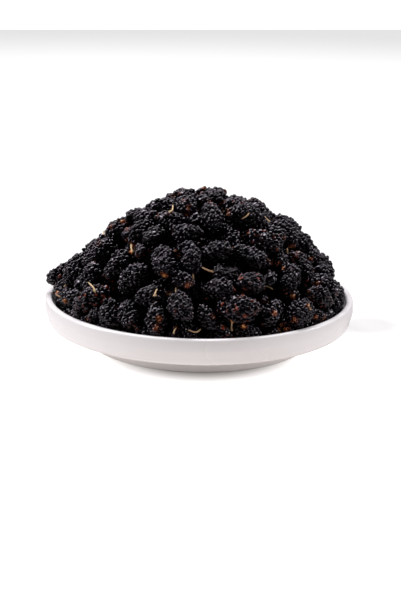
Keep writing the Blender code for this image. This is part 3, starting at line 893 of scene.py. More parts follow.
@functools.cache
def fruit_material():
    """Dry mulberry skin: near black, redder on some drupelets, tan at a dry stalk end."""
    fruit = bpy.context.scene.mulberry_fruit
    material, tree, coords = new_material("dried_mulberry_skin")
    crease, tone, dry, ripe = (stored(tree, name) for name in FRUIT_VALUES)
    blotch = maths(tree, "ADD", product(tree, tone, 0.5), mottled(tree, coords, SKIN_BLOTCH))
    redness = ranged(tree, product(tree, ripe, blotch), *RED_RANGE)
    skin = blended(tree, redness, blended(tree, tone, fruit.skin, fruit.bloom), fruit.red)
    fleck = mottled(tree, coords, SKIN_FLECK)
    uneven = maths(tree, "SUBTRACT", fleck, FLECK_MIDDLE)
    broken = maths(tree, "ADD", dry, product(tree, uneven, ranged(tree, dry, *DRY_FLECKS)))
    for limits, colour in zip(DRY_RANGES, (fruit.red, fruit.amber, fruit.tan)):
        skin = blended(tree, ranged(tree, broken, *limits), skin, colour)
    # Painted shade: the low parts of each drupelet and the body between them, the creases, are
    # darkened towards near black, less so at a dry end
    shade = ranged(tree, crease, *PAINTED_CREASE_SHADE)
    shade = product(tree, shade, ranged(tree, dry, *DRY_PAINTED_SHADE))
    speck = product(tree, mottled(tree, coords, *SKIN_SPECK), SKIN_SPECK_ROUGHNESS)
    rough = maths(tree, "ADD", ranged(tree, crease, *CREASE_ROUGHNESS), speck)
    wrinkles = wrinkled(tree, coords, fruit.wrinkle_size)
    fibres = product(tree, fleck, product(tree, dry, SKIN_FIBRES))
    return finished(material, {
        "Base Color": blended(tree, shade, skin, PAINTED_SHADE_COLOUR),
        "Roughness": maths(tree, "MAXIMUM", rough, ranged(tree, broken, *DRY_ROUGHNESS)),
        "Specular IOR Level": fruit.gloss,
        "Specular Tint": fruit.sheen,
        "Normal": bumped(tree, maths(tree, "ADD", wrinkles, fibres), *SKIN_BUMP),
    })


@functools.cache
def core_material():
    """The dark of the heap's inside, rough and uneven."""
    material, tree, coords = new_material("heap_inside")
    blotch = mottled(tree, coords, CORE_BLOTCH)
    skin = bpy.context.scene.mulberry_fruit.skin
    return finished(material, {
        "Base Color": blended(tree, blotch, skin, CORE_COLOUR),
        "Roughness": ranged(tree, blotch, 0.0, 1.0, *CORE_ROUGHNESS),
        "Specular IOR Level": CORE_SHINE,
        "Normal": bumped(tree, wrinkled(tree, coords, CORE_WRINKLE), *CORE_BUMP),
    })


@functools.cache
def stalk_material():
    """Dry pale stalk, browner in blotches and finely wrinkled."""
    stalks = bpy.context.scene.mulberry_stalks
    material, tree, coords = new_material("dry_stalk")
    blotch = product(tree, mottled(tree, coords, *STALK_BLOTCH), STALK_BLOTCH_BROWN)
    brown = maths(tree, "ADD", stored(tree, "brown"), blotch)
    return finished(material, {
        "Base Color": blended(tree, brown, stalks.pale, stalks.brown),
        "Roughness": STALK_ROUGHNESS,
        "Normal": bumped(tree, wrinkled(tree, coords, STALK_WRINKLE), *STALK_BUMP),
    })


@functools.cache
def glaze_material():
    """White glaze over stoneware: a little warmer where it pools, with faint waves in its gloss."""
    bowl = bpy.context.scene.mulberry_bowl
    material, tree, coords = new_material("bowl_glaze")
    pooled = mottled(tree, coords, GLAZE_POOL)
    speck = product(tree, mottled(tree, coords, *GLAZE_SPECK), GLAZE_SPECKED)
    colour = blended(tree, product(tree, pooled, GLAZE_POOLED), bowl.glaze, bowl.pooled)
    return finished(material, {
        "Base Color": blended(tree, speck, colour, bowl.speck),
        "Roughness": ranged(tree, pooled, 0.0, 1.0, *GLAZE_ROUGHNESS),
        "Normal": bumped(tree, noise(tree, coords, 1 / GLAZE_WAVE), *GLAZE_BUMP),
    })


def mesh_of(name, bm):
    """The mesh that a bmesh makes."""
    mesh = bpy.data.meshes.new(name)
    bm.to_mesh(mesh)
    bm.free()
    return mesh


def points_of(mesh):
    """Places of a mesh's points."""
    points = np.empty(len(mesh.vertices) * 3, np.float32)
    mesh.vertices.foreach_get("co", points)
    return points.reshape(-1, 3)


def finished_shape(name, bm):
    """A mesh made from a bmesh, and its points."""
    mesh = mesh_of(name, bm)
    return mesh, points_of(mesh).astype(float)


def linked(name, data):
    """A new object in the scene."""
    thing = bpy.data.objects.new(name, data)
    bpy.context.scene.collection.objects.link(thing)
    return thing


def new_piece(name, bm, material, nodes=()):
    """Turns a bmesh into a piece that rides on the body and stands for some nodes."""
    mesh = mesh_of(name, bm)
    mesh.shade_smooth()
    mesh.materials.append(material)
    piece = linked(name, mesh)
    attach(piece, "root")
    if nodes:
        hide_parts(*nodes)


def arc(centre, radius, start, end, steps):
    """Points of an arc from one angle to another, in degrees, both ends included."""
    angles = np.radians(np.linspace(start, end, steps + 1))
    return [(centre[0] + radius * math.cos(a), centre[1] + radius * math.sin(a)) for a in angles]


def turned(bm, profile, segments):
    """Spins a profile of (radius, height) points about Z into a closed shape."""
    verts = [bm.verts.new((radius, 0, height)) for radius, height in profile]
    edges = [bm.edges.new(pair) for pair in zip(verts, verts[1:])]
    bmesh.ops.spin(
        bm, geom=verts + edges, axis=(0, 0, 1), angle=2 * math.pi, steps=segments, use_merge=True
    )
    bmesh.ops.remove_doubles(bm, verts=bm.verts, dist=MERGE_DISTANCE)
    bmesh.ops.recalc_face_normals(bm, faces=bm.faces)


def wall_points(low, high, steps):
    """The wall's outside, bowed out a little between its heel and its rim."""
    points = []
    for share in np.linspace(0, 1, steps + 1)[1:-1]:
        radius = low[0] + (high[0] - low[0]) * share
        height = low[1] + (high[1] - low[1]) * share
        bow = (high[1] - low[1]) ** 2 / (2 * WALL_BULGE) * share * (1 - share)
        points.append((radius + bow, height))
    return points


def bowl_profile():
    """The bowl's section, from the middle of its floor, over the rim, to its underside."""
    inside = BOWL_RADIUS - WALL
    corner = (inside - INSIDE_CORNER, FLOOR_TOP + INSIDE_CORNER)
    rim_top = BOWL_HEIGHT - RIM_ROUND
    heel_round = BOWL_RADIUS - WALL_DRAFT - HEEL_RADIUS
    heel = (HEEL_RADIUS, HEEL_HEIGHT + heel_round)
    foot_outside = FOOT_RADIUS - FOOT_ROUND
    foot_inside = FOOT_RADIUS - FOOT_WIDTH + FOOT_ROUND
    profile = [(0, FLOOR_TOP), (inside * 0.5, FLOOR_TOP)]
    profile += arc(corner, INSIDE_CORNER, -90, 0, LARGE_ROUND_STEPS)
    rim_outside = BOWL_RADIUS - RIM_DRAFT - RIM_ROUND
    profile += arc((inside + RIM_ROUND, rim_top), RIM_ROUND, 180, 90, RIM_ROUND_STEPS)
    profile += arc((rim_outside, rim_top), RIM_ROUND, 90, 0, RIM_ROUND_STEPS)
    profile.append((BOWL_RADIUS, WIDEST_HEIGHT))
    wall_foot = (BOWL_RADIUS - WALL_DRAFT, heel[1])
    profile += reversed(wall_points(wall_foot, profile[-1], SMALL_ROUND_STEPS))
    profile += arc(heel, heel_round, 0, -90, LARGE_ROUND_STEPS)
    profile.append((FOOT_RADIUS + FOOT_FLARE + FILLET_OUT, UNDERSIDE + FILLET_UP))
    profile.append((FOOT_RADIUS + FOOT_FLARE, UNDERSIDE - FILLET_DOWN))
    profile += arc((foot_outside, FOOT_ROUND), FOOT_ROUND, 0, -90, SMALL_ROUND_STEPS)
    profile += arc((foot_inside, FOOT_ROUND), FOOT_ROUND, -90, -180, SMALL_ROUND_STEPS)
    profile.append((FOOT_RADIUS - FOOT_WIDTH - FOOT_FLARE, RECESS))
    profile.append((0, RECESS))
    return profile


@functools.cache
def fruit_body():
    """A ball for a fruit's body: its mesh, and its points' directions."""
    bm = bmesh.new()
    bmesh.ops.create_icosphere(bm, subdivisions=BODY_SUBDIVISIONS, radius=1)
    return finished_shape("fruit_body", bm)


@functools.cache
def drupelet_dome():
    """The upper half of a ball, closed below, for one drupelet: its mesh, and its points."""
    bm = bmesh.new()
    bmesh.ops.create_icosphere(bm, subdivisions=DOME_SUBDIVISIONS, radius=1)
    bmesh.ops.bisect_plane(
        bm, geom=[*bm.verts, *bm.edges, *bm.faces], dist=CUT_DISTANCE,
        plane_co=(0, 0, 0), plane_no=(0, 0, 1), clear_inner=True,
    )
    bmesh.ops.holes_fill(bm, edges=[edge for edge in bm.edges if edge.is_boundary], sides=0)
    bmesh.ops.triangulate(bm, faces=[face for face in bm.faces if len(face.verts) > 3])
    bmesh.ops.recalc_face_normals(bm, faces=bm.faces)
    return finished_shape("drupelet", bm)


def smooth_fruit(berry, directions):
    """The fruit's outline without drupelets: its points and normals in those directions."""
    x = berry.middle + berry.half * directions[:, 0]
    out = lengths(directions[:, 1:]) + TINY
    points = np.column_stack([x, directions[:, 1:] * (berry.outline(x) / out)[:, None]])
    return points, outline_normals(berry, points)


def outline_normals(berry, points):
    """The outward normals of the fruit's outline at some of its points."""
    along = (points[:, 0] - berry.middle) / berry.half**2
    normals = np.column_stack([along, points[:, 1:] / berry.radii.max() ** 2])
    return normals / lengths(normals)[:, None]


def drupelet_spots(berry, width, rng):
    """Places of the drupelets on the fruit's outline, in an uneven spiral."""
    x = np.linspace(berry.low_end, berry.high_end, OUTLINE_STEPS)
    radius = berry.outline(x)
    length = np.hypot(np.gradient(x), np.gradient(radius))
    area = 2 * math.pi * np.cumsum(radius * length)
    count = round(area[-1] / (CELL_AREA * width**2))
    shift, twist = rng.uniform(-1, 1, (2, count)) * DRUPELET_JITTER * width
    at = np.interp((np.arange(count) + 0.5) / count * area[-1], area, x)
    steep = np.interp(at, x, np.gradient(x) / length)
    at = np.clip(at + shift * steep, berry.low_end, berry.high_end)
    out = berry.outline(at)
    angle = GOLDEN_ANGLE * np.arange(count) + twist / (out + width / 2)
    return np.column_stack([at, out * np.cos(angle), out * np.sin(angle)])


def cell_shares(points, spots):
    """How far each point lies from the border of its spot's cell, in metres."""
    square = (spots**2).sum(axis=1)[None] - 2 * points @ spots.T
    nearest = np.argpartition(square, 1, axis=1)[:, :2]
    gap = lengths(spots[nearest[:, 0]] - spots[nearest[:, 1]])
    row = np.arange(len(points))
    return np.abs(square[row, nearest[:, 1]] - square[row, nearest[:, 0]]) / (2 * gap)


class Dents:
    """A fruit's broad dents and swellings, and the hollow round its stalk."""

    def __init__(self, berry, spots, rng):
        count = rng.integers(*DENTS)
        stalk_end = (berry.low_end, 0, 0)
        self.centres = np.vstack([spots[rng.integers(len(spots), size=count)], stalk_end])
        self.reaches = np.append(rng.uniform(*DENT_REACH, count), STALK_HOLLOW_REACH)
        self.depths = np.append(rng.uniform(*DENT_DEPTH, count), STALK_HOLLOW)

    def depth(self, points):
        """How deep the outline is sunk at each point."""
        away = lengths(points[:, None] - self.centres[None]) / self.reaches
        return (self.depths * np.exp(-(away**2))).sum(axis=1)


def drupelet_points(berry, spots, width, dents, rng):
    """The points of a dome at every spot, one row each, and their heights from 0 to 1."""
    fruit = bpy.context.scene.mulberry_fruit
    count = len(spots)
    x, y, z = drupelet_dome()[1].T
    up = outline_normals(berry, spots)
    across = np.cross(up, rng.normal(0, 1, (count, 3)))
    across /= lengths(across)[:, None]
    along = np.cross(up, across)
    half = DRUPELET_SPREAD * width / 2 * rng.uniform(*DRUPELET_SIZES, count)
    wide, long = half * rng.uniform(*DRUPELET_STRETCH, (2, count))
    high = fruit.drupelet_depth * rng.uniform(*FULLNESS, count)
    lean = rng.normal(0, LEAN, (2, count)) * high
    shift = rng.normal(0, DIMPLE_SHIFT, (2, count))
    dimple = DIMPLE_DEPTH * rng.uniform(0, 1, count) ** DIMPLE_SHARE
    from_dimple = (x[None] - shift[0][:, None]) ** 2 + (y[None] - shift[1][:, None]) ** 2
    height = z[None] * (1 - dimple[:, None] * np.exp(-from_dimple / DIMPLE_WIDTH**2))
    sideways = np.outer(wide, x) + lean[0][:, None] * height
    lengthways = np.outer(long, y) + lean[1][:, None] * height
    sunk = fruit.drupelet_depth - SWELL + dents.depth(spots) + rng.normal(0, DRUPELET_RISE, count)
    base = spots - up * sunk[:, None]
    points = base[:, None] + across[:, None] * sideways[:, :, None]
    points += along[:, None] * lengthways[:, :, None]
    points += up[:, None] * (high[:, None] * height)[:, :, None]
    return points, height


def fruit_mesh(berry, turn, place, reach, rng):
    """One fine mulberry as a mesh in its place, with the values that its skin reads."""
    fruit = bpy.context.scene.mulberry_fruit
    width = fruit.drupelet_width * rng.uniform(*DRUPELET_RANGE)
    spots = drupelet_spots(berry, width, rng)
    dents = Dents(berry, spots, rng)
    outward = turn.T @ under_heap(place[None])[1][0]
    spots = spots[outline_normals(berry, spots) @ outward > reach]
    drupelets, height = drupelet_points(berry, spots, width, dents, rng)
    body, normals = smooth_fruit(berry, fruit_body()[1])
    body -= normals * (BODY_SHARE * fruit.drupelet_depth - SWELL + dents.depth(body))[:, None]
    points = np.vstack([body, drupelets.reshape(-1, 3)])
    from_stalk = lengths(points - (berry.low_end, 0, 0))
    tone = np.repeat(rng.uniform(0, 1, len(spots)), height.shape[1])
    values = {
        "crease": np.append(np.zeros(len(body)), height),
        "tone": np.append(np.zeros(len(body)), tone),
        "dry": 1 - from_stalk / rng.uniform(*DRY_REACH),
        "ripe": np.full(len(points), rng.uniform() ** RIPE_SHARE),
    }
    bm = bmesh.new()
    bm.from_mesh(fruit_body()[0])
    for _ in spots:
        bm.from_mesh(drupelet_dome()[0])
    mesh = mesh_of("fruit", bm)
    placed = berry.bent(points) @ turn.T + place
    mesh.vertices.foreach_set("co", placed.astype(np.float32).ravel())
    for name, value in values.items():
        layer = mesh.attributes.new(name, "FLOAT", "POINT")
        layer.data.foreach_set("value", np.clip(value, 0, 1).astype(np.float32))
    return mesh


def add_fruits(name, fruits, reach, nodes):
    """Joins fine mulberries into pieces of a set number, each standing for some nodes."""
    for first in range(0, len(fruits), FRUITS_A_PIECE):
        batch = slice(first, first + FRUITS_A_PIECE)
        bm = bmesh.new()
        for number, placed in enumerate(fruits[batch], start=first):
            rng = np.random.default_rng([SEED, len(name), number])
            mesh = fruit_mesh(*placed, reach, rng)
            bm.from_mesh(mesh)
            bpy.data.meshes.remove(mesh)
        piece = f"{name}_{first // FRUITS_A_PIECE + 1}"
        new_piece(piece, bm, fruit_material(), sorted(set(nodes[batch])))


def placed_fruits(numbers):
    """All mulberries of some clumps, each with its turn and place."""
    return [placed for number in numbers for placed in settled_heap().placed(number)]


def tube(bm, path, radii, sides):
    """A closed round tube along a path, with its own radius at each point."""
    aims = np.gradient(path, axis=0)
    turns = [Vector(aim).to_track_quat("Z", "Y") for aim in aims]
    rings = [
        Matrix.LocRotScale(Vector(point), turn, Vector((radius, radius, radius)))
        for point, turn, radius in zip(path, turns, radii)
    ]
    start = bmesh.ops.create_cone(
        bm, cap_ends=True, segments=sides, radius1=1, radius2=1, depth=1, matrix=rings[0]
    )
    face = max({f for vert in start["verts"] for f in vert.link_faces if len(f.verts) == sides},
               key=lambda f: (rings[0].inverted() @ f.calc_center_median()).z)
    before = rings[0] @ Matrix.Translation((0, 0, 0.5))
    for ring in rings[1:]:
        face = bmesh.ops.extrude_discrete_faces(bm, faces=[face])["faces"][0]
        bmesh.ops.transform(bm, matrix=ring @ before.inverted(), verts=face.verts)
        before = ring


def camera_matrix():
    """The camera's place: it looks down at the bowl, rolled a little as in the photograph."""
    back = Vector((0, -math.cos(CAMERA_ELEVATION), math.sin(CAMERA_ELEVATION)))
    place = back * CAMERA_DISTANCE
    turn = (Vector(CAMERA_AIM) - place).to_track_quat("-Z", "Y")
    return Matrix.LocRotScale(place, turn @ Quaternion((0, 0, 1), CAMERA_ROLL), None)


def fruit_pieces():
    """All pieces of fine mulberries."""
    return [o for o in bpy.context.scene.objects if o.name.startswith("fine_")]


@functools.cache
def fruit_trees():
    """Search trees of all fruit pieces."""
    graph = bpy.context.evaluated_depsgraph_get()
    return [BVHTree.FromObject(piece, graph) for piece in fruit_pieces()]


def seen_point(pixel):
    """Where the camera's ray through a pixel of the photograph meets the fruit."""
    camera = camera_matrix()
    across = (pixel[0] - PHOTO_WIDTH / 2) / FOCAL_PIXELS
    down = (pixel[1] - PHOTO_HEIGHT / 2) / FOCAL_PIXELS
    way = (camera.to_3x3() @ Vector((across, -down, -1))).normalized()
    hits = [tree.ray_cast(camera.translation, way) for tree in fruit_trees()]
    hits = [hit for hit in hits if hit[0] is not None]
    if not hits:
        return None
    return np.array(min(hits, key=lambda hit: hit[3])[0])


def paint_ends(ends):
    """Raises the fruit's dry value round some places, each given with its reach and strength."""
    for piece in fruit_pieces():
        mesh = piece.data
        points = points_of(mesh)
        dry = np.empty(len(points), np.float32)
        data = mesh.attributes["dry"].data
        data.foreach_get("value", dry)
        for centre, reach, strength in ends:
            away = lengths(points - centre) / reach
            dry = np.maximum(dry, strength * np.clip(END_FADE - away, 0, 1))
        data.foreach_set("value", dry.astype(np.float32))


def tint(name, description, *default):
    """A setting that is a colour."""
    return FloatVectorProperty(
        name=name, description=description, subtype="COLOR", default=default
    )


def amount(name, description, default, unit="NONE", **limits):
    """A setting that is one number."""
    return FloatProperty(
        name=name, description=description, default=default, unit=unit, **limits
    )


class BowlSettings(bpy.types.PropertyGroup):
    glaze: tint("Glaze", "Colour of the glaze", 0.83, 0.81, 0.81)
    pooled: tint("Pooled glaze", "Colour of the glaze where it is thicker", 0.80, 0.77, 0.765)
    speck: tint("Specks", "Colour of faint specks", 0.62, 0.57, 0.55)


class FruitSettings(bpy.types.PropertyGroup):
    skin: tint("Skin", "Darkest colour of the dry skin", 0.0003, 0.0002, 0.0004)
    bloom: tint("Bloom", "Colour of the paler drupelets", 0.0016, 0.0012, 0.0023)
    red: tint("Red", "Colour of the redder fruit", 0.2, 0.036, 0.016)
    amber: tint("Amber", "Colour round a dry stalk end", 0.95, 0.34, 0.05)
    tan: tint("Tan", "Colour of a dry stalk end", 1.0, 0.76, 0.42)
    gloss: amount("Gloss", "How strongly the skin shines", 0.58, min=0, max=1)
    sheen: tint("Sheen", "Colour of the skin's shine", 1.0, 0.88, 1.0)
    wrinkle_size: amount("Wrinkle size", "Width of the fine wrinkles", 0.8 * MM, "LENGTH")
    drupelet_width: amount(
        "Drupelet width", "Least distance between neighbouring drupelets", 2.55 * MM, "LENGTH"
    )
    drupelet_depth: amount(
        "Drupelet depth", "How far a drupelet stands up from its creases", 2.15 * MM, "LENGTH"
    )
    gap_count: IntProperty(
        name="Gap fruit", description="Number of small mulberries set into the gaps",
        default=104, min=0,
    )


class StalkSettings(bpy.types.PropertyGroup):
    pale: tint("Pale", "Colour of a dry stalk", 0.88, 0.64, 0.36)
    brown: tint("Brown", "Colour of a browned stalk", 0.2, 0.075, 0.028)
    radius: amount("Radius", "Radius of a stalk", 0.37 * MM, "LENGTH")


class StageSettings(bpy.types.PropertyGroup):
    floor: tint("Floor", "Colour of the floor", 0.9, 0.88, 0.87)
    top_power: amount("Top light", "Power of the light above", 7.0, "POWER")
    left_power: amount("Left light", "Power of the light to the left", 4.1, "POWER")
    right_power: amount("Right light", "Power of the light to the right", 3.0, "POWER")
    front_power: amount(
        "Front light", "Power of the soft light in front, which adds no shine", 0.8, "POWER"
    )
    sky: amount("Sky", "Brightness of the surroundings", 0.5, min=0)
    sky_colour: tint("Sky colour", "Colour of the light from the surroundings", 1.0, 0.965, 0.985)
    glow: amount("Backdrop", "How much whiter the floor looks away from the bowl", 0.95, min=0)


class MULBERRIES_OT_bowl(bpy.types.Operator):
    """Turns the glazed bowl on its foot ring"""

    bl_idname = "mulberries.bowl"
    bl_label = "Bowl"

    def execute(self, context):
        bm = bmesh.new()
        turned(bm, bowl_profile(), BOWL_SEGMENTS)
        new_piece("glazed_bowl", bm, glaze_material(), ["bowl"])
        return {"FINISHED"}


def core_profile():
    """The section of the heap's dark core, from its top down to the bowl's floor."""
    shares = np.sin(np.linspace(0, math.pi / 2, CORE_RINGS + 1))
    heights = dome(shares, CORE_EDGE, CORE_RISE, CORE_POWER)
    base = FLOOR_TOP + CLEARANCE / 2
    profile = list(zip(shares * CORE_REACH, heights))
    profile.append((CORE_REACH, base + INSIDE_CORNER / 2))
    profile.append((CORE_REACH - INSIDE_CORNER / 2, base))
    profile.append((0, base))
    return profile


class MULBERRIES_OT_core(bpy.types.Operator):
    """Raises the heap's lumpy dark core, which only shows in the deepest gaps"""

    bl_idname = "mulberries.core"
    bl_label = "Core"

    def execute(self, context):
        bm = bmesh.new()
        turned(bm, core_profile(), CORE_SEGMENTS)
        points = np.array([vert.co for vert in bm.verts])
        lumps = spots_on_heap(CORE_LUMPS, 0.0, BED_DEPTH)
        to_gap = cell_shares(points, lumps) / CORE_LUMP_WIDTH
        sink = CORE_LUMP_DEPTH * (1 - np.sqrt(1 - (1 - np.clip(to_gap, 0, 1)) ** 2))
        inward = under_heap(points)[1] * (sink * (points[:, 2] > CORE_EDGE))[:, None]
        for vert, place in zip(bm.verts, points - inward):
            vert.co = place
        new_piece("heap_core", bm, core_material(), ["mulberry_bed"])
        return {"FINISHED"}


class MULBERRIES_OT_bed(bpy.types.Operator):
    """Lays the lower mulberries over the heap's dark core"""

    bl_idname = "mulberries.bed"
    bl_label = "Bed"

    def execute(self, context):
        fruits = placed_fruits(np.nonzero(settled_heap().is_bed)[0])
        add_fruits("fine_bed", fruits, INNER_REACH, ["mulberry_bed"] * len(fruits))
        return {"FINISHED"}


class MULBERRIES_OT_singles(bpy.types.Operator):
    """Lays the single mulberries of the heap's front and outline"""

    bl_idname = "mulberries.singles"
    bl_label = "Single Mulberries"

    def execute(self, context):
        fruits = placed_fruits(BED_COUNT + np.arange(len(SINGLES)))
        nodes = [f"mulberry_{n:02d}" for n in range(1, len(SINGLES) + 1)]
        add_fruits("fine_single", fruits, OUTER_REACH, nodes)
        return {"FINISHED"}


class MULBERRIES_OT_pairs(bpy.types.Operator):
    """Lays the mulberries that are stuck together in pairs"""

    bl_idname = "mulberries.pairs"
    bl_label = "Pairs"

    def execute(self, context):
        fruits = placed_fruits(np.nonzero(settled_heap().is_pair)[0])
        numbers = [len(SINGLES) + 1 + n // 2 for n in range(2 * PAIR_COUNT)]
        nodes = [f"mulberry_pair_{number:02d}" for number in numbers]
        add_fruits("fine_pair", fruits, OUTER_REACH, nodes)
        return {"FINISHED"}


class MULBERRIES_OT_gaps(bpy.types.Operator):
    """Sets small mulberries into the widest gaps"""

    bl_idname = "mulberries.gaps"
    bl_label = "Gap Fruit"

    def execute(self, context):
        fruits = gap_fruits(context.scene.mulberry_fruit.gap_count)
        add_fruits("fine_gap", fruits, INNER_REACH, [])
        return {"FINISHED"}


class MULBERRIES_OT_ends(bpy.types.Operator):
    """Dries some stalk ends to amber and tan, and others to red"""

    bl_idname = "mulberries.ends"
    bl_label = "Dry Ends"

    def execute(self, context):
        ends = [(seen_point((x, y)), reach * MM, strength) for x, y, reach, strength in DRY_ENDS]
        paint_ends([end for end in ends if end[0] is not None])
        return {"FINISHED"}


def end_path(berry, turn, place, rng):
    """The middle line of a fruit's stalk, or of the stub that is left of it, in its place."""
    if berry.stalk:
        path = np.vstack([[berry.low_end + STALK_ROOT, 0, 0], berry.stalk_path()])
        path[0] = berry.bent(path[:1])[0]
    else:
        reach = np.linspace(-STALK_ROOT, rng.uniform(*STUB_LENGTH), STUB_STEPS)
        side = rng.normal(0, STUB_CURL, 2)
        path = berry.bent(np.array([[berry.low_end, 0, 0]]))
        curl = reach**2 / STUB_LENGTH[1] * side[0]
        path = path + np.column_stack([-reach, curl, reach * side[1] * STUB_LIFT])
    return path @ turn.T + place


def loose_path(first, last, bend):
    """The middle line of a loose stalk that lies over the fruit seen between two pixels."""
    share = np.linspace(0, 1, LOOSE_STEPS)
    arch = np.sin(math.pi * share**LOOSE_ARCH)
    along = np.subtract(last, first)
    side = np.array([-along[1], along[0]]) / np.linalg.norm(along)
    shift = np.outer(arch * bend * FOCAL_PIXELS / CAMERA_DISTANCE, side)
    seen = [seen_point(pixel) for pixel in first + np.outer(share, along) + shift]
    if any(place is None for place in seen):
        return None
    eye = np.array(camera_matrix().translation)
    ways = np.array(seen) - eye
    far = lengths(ways)
    away = np.minimum(far, far.min() + LOOSE_DROP)
    for _ in range(LOOSE_STEPS**2):
        away[1:-1] = np.minimum(away[1:-1], (away[:-2] + away[2:]) / 2)
    away -= LOOSE_LIFT[0] + arch * LOOSE_LIFT[1]
    return eye + ways * (away / far)[:, None]


def add_stalk(bm, path, radii, brown):
    """Adds one stalk, which keeps how brown it is at its points."""
    layer = bm.verts.layers.float.get("brown")
    known = len(bm.verts)
    tube(bm, path, radii, STALK_SIDES)
    bm.verts.ensure_lookup_table()
    for vert in bm.verts[known:]:
        vert[layer] = brown


class MULBERRIES_OT_stalks(bpy.types.Operator):
    """Grows the curved stalks, the broken stubs and the loose stalks"""

    bl_idname = "mulberries.stalks"
    bl_label = "Stalks"

    def execute(self, context):
        radius = context.scene.mulberry_stalks.radius
        heap = settled_heap()
        fruits = placed_fruits(range(len(heap.clumps)))
        fruits += gap_fruits(context.scene.mulberry_fruit.gap_count)
        rng = np.random.default_rng(SEED + 2)
        bm = bmesh.new()
        bm.verts.layers.float.new("brown")
        for placed in fruits:
            if rng.uniform() > STUB_SHARE and not placed[0].stalk:
                continue
            path = end_path(*placed, rng)
            stands_out = under_heap(path[-1:])[0][0] < 0
            if stands_out and not placed[0].stalk:
                continue
            swell = np.linspace(*STALK_TAPER, len(path)) * rng.uniform(*STALK_THICKNESS)
            swell[-2:] *= rng.uniform(*STALK_KNOB), STALK_TIP
            add_stalk(bm, path, radius * swell, rng.uniform(*STALK_BROWNS))
        for one, two, bend, knob, brown in LOOSE_STALKS:
            path = loose_path(one, two, bend * MM)
            if path is None:
                continue
            end = knob, STALK_TIP * knob
            middle = np.linspace(*LOOSE_TAPER, LOOSE_STEPS - len(LOOSE_START) - len(end))
            taper = np.concatenate([LOOSE_START, middle, end])
            add_stalk(bm, path, radius * taper, brown)
        new_piece("stalks", bm, stalk_material())
        return {"FINISHED"}


class MULBERRIES_OT_stage(bpy.types.Operator):
    """Adds the floor, the soft lights, the surroundings and the camera"""

    bl_idname = "mulberries.stage"
    bl_label = "Stage"

    def execute(self, context):
        stage = context.scene.mulberry_stage
        add_floor(stage)
        for name, place, size in LIGHTS:
            add_light(f"{name}_light", place, size, getattr(stage, f"{name}_power"))
        bpy.data.objects["front_light"].visible_glossy = False
        bpy.data.lights["front_light"].color = FRONT_TINT
        add_sky(stage)
        add_camera()
        return {"FINISHED"}


def add_floor(stage):
    """A pale floor, whose far edge is level in the picture although the camera is rolled."""
    bm = bmesh.new()
    bmesh.ops.create_grid(bm, x_segments=1, y_segments=1, size=FLOOR_SIZE)
    bmesh.ops.translate(bm, vec=(0, FLOOR_EDGE - FLOOR_SIZE, 0), verts=bm.verts)
    bmesh.ops.rotate(bm, matrix=Matrix.Rotation(FLOOR_TURN, 3, "Z"), verts=bm.verts)
    mesh = mesh_of("floor", bm)
    material, tree, coords = new_material("pale_floor")
    away = measured(tree, "LENGTH", coords)
    near = ranged(tree, away, *FLOOR_REACH, NEAR_FLOOR, FAR_FLOOR)
    grain = product(tree, noise(tree, coords, 1 / GRAIN_SIZE), GRAIN)
    shade = product(tree, maths(tree, "ADD", 1 - GRAIN, grain), near)
    # Painted shadow: a soft darker patch to the bowl's right, painted into both the floor's colour
    # and its glow
    shaded = measured(tree, "DISTANCE", coords, SHADE_CENTRE)
    shaded = ranged(tree, shaded, *SHADE_REACH, SHADE, 1.0)
    glow = measured(tree, "DISTANCE", coords, GLOW_CENTRE)
    glow = ranged(tree, glow, *GLOW_REACH, 0.0, stage.glow)
    glow = product(tree, glow, ranged(tree, away, *FAR_REACH, 1.0, FAR_SEEN))
    glow = product(tree, glow, shaded)
    rays = add_node(tree, "ShaderNodeLightPath").outputs
    seen = rays["Is Camera Ray"]
    shine = ranged(tree, rays["Is Glossy Ray"], 0.0, 1.0, 1.0, SKY_SHINE)
    thrown = product(tree, ranged(tree, near, FAR_FLOOR, NEAR_FLOOR, 0.0, GLOW_LIGHT), shine)
    glow = product(tree, glow, maths(tree, "MAXIMUM", seen, thrown))
    white = blended(tree, seen, GLOW_TINT, (1, 1, 1))
    finished(material, {
        "Base Color": blended(tree, 1.0, stage.floor, product(tree, shade, shaded), "MULTIPLY"),
        "Roughness": FLOOR_ROUGHNESS,
        "Specular IOR Level": FLOOR_SHINE,
        "Emission Color": blended(tree, glow, (0, 0, 0), white),
        "Emission Strength": 1.0,
    })
    mesh.materials.append(material)
    linked("floor", mesh)


def add_light(name, place, size, power):
    """A soft light that faces the heap, with its width and height."""
    light = bpy.data.lights.new(name, "AREA")
    light.shape = "RECTANGLE"
    light.size, light.size_y = size
    light.energy = power
    light.color = LIGHT_TINT
    place = Vector(place)
    turn = (Vector(LIGHT_AIM) - place).to_track_quat("-Z", "Y")
    linked(name, light).matrix_world = Matrix.LocRotScale(place, turn, None)


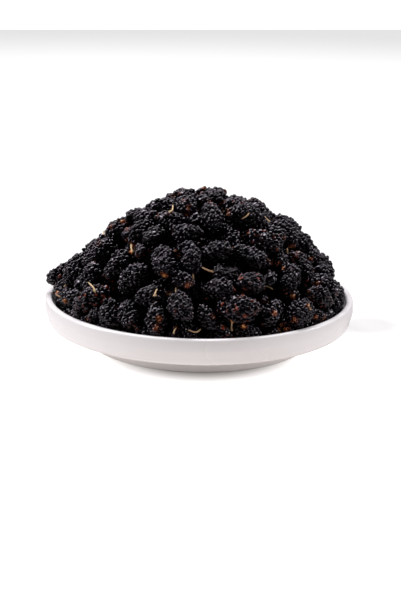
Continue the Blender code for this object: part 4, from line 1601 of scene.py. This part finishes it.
def add_sky(stage):
    """An even white world, dimmer as light than as backdrop, and dimmest where it is reflected."""
    world = bpy.data.worlds.new("sky")
    world.use_nodes = True
    tree = world.node_tree
    background = tree.nodes["Background"].inputs
    rays = add_node(tree, "ShaderNodeLightPath").outputs
    seen = rays["Is Camera Ray"]
    light = ranged(tree, rays["Is Glossy Ray"], 0.0, 1.0, stage.sky, stage.sky * SKY_SHINE)
    feed(tree, background["Color"], blended(tree, seen, stage.sky_colour, (1, 1, 1)))
    strength = maths(tree, "MAXIMUM", light, product(tree, seen, SKY_SEEN))
    feed(tree, background["Strength"], strength)
    bpy.context.scene.world = world
    bpy.context.scene.view_settings.view_transform = "Standard"


def add_camera():
    """The camera that saw the photograph."""
    camera = bpy.data.cameras.new("camera")
    camera.sensor_width = SENSOR
    camera.lens = FOCAL_PIXELS * SENSOR / PHOTO_HEIGHT
    camera.clip_start, camera.clip_end = CLIP
    view = linked("camera", camera)
    view.matrix_world = camera_matrix()
    bpy.context.scene.camera = view


class MULBERRIES_PT_sidebar(bpy.types.Panel):
    """Lists the settings and the steps that build the bowl of mulberries"""

    bl_label = "Dried Mulberries"
    bl_space_type = "VIEW_3D"
    bl_region_type = "UI"
    bl_category = "Mulberries"

    def draw(self, context):
        for name, settings in SETTINGS.items():
            group = getattr(context.scene, name)
            for label in settings.__annotations__:
                self.layout.prop(group, label)
        for operator in OPERATORS:
            self.layout.operator(operator.bl_idname)


SETTINGS = {
    "mulberry_bowl": BowlSettings,
    "mulberry_fruit": FruitSettings,
    "mulberry_stalks": StalkSettings,
    "mulberry_stage": StageSettings,
}
OPERATORS = (
    MULBERRIES_OT_bowl,
    MULBERRIES_OT_core,
    MULBERRIES_OT_bed,
    MULBERRIES_OT_singles,
    MULBERRIES_OT_pairs,
    MULBERRIES_OT_gaps,
    MULBERRIES_OT_ends,
    MULBERRIES_OT_stalks,
    MULBERRIES_OT_stage,
)


def register():
    for part in (*SETTINGS.values(), *OPERATORS, MULBERRIES_PT_sidebar):
        bpy.utils.register_class(part)
    for name, settings in SETTINGS.items():
        setattr(bpy.types.Scene, name, PointerProperty(type=settings))


def unregister():
    for name in SETTINGS:
        delattr(bpy.types.Scene, name)
    for part in (MULBERRIES_PT_sidebar, *reversed(OPERATORS), *SETTINGS.values()):
        bpy.utils.unregister_class(part)


def main():
    """Builds every piece in order."""
    register()
    for operator in OPERATORS:
        getattr(bpy.ops.mulberries, operator.bl_idname.split(".")[1])()


if __name__ == "__main__":
    main()
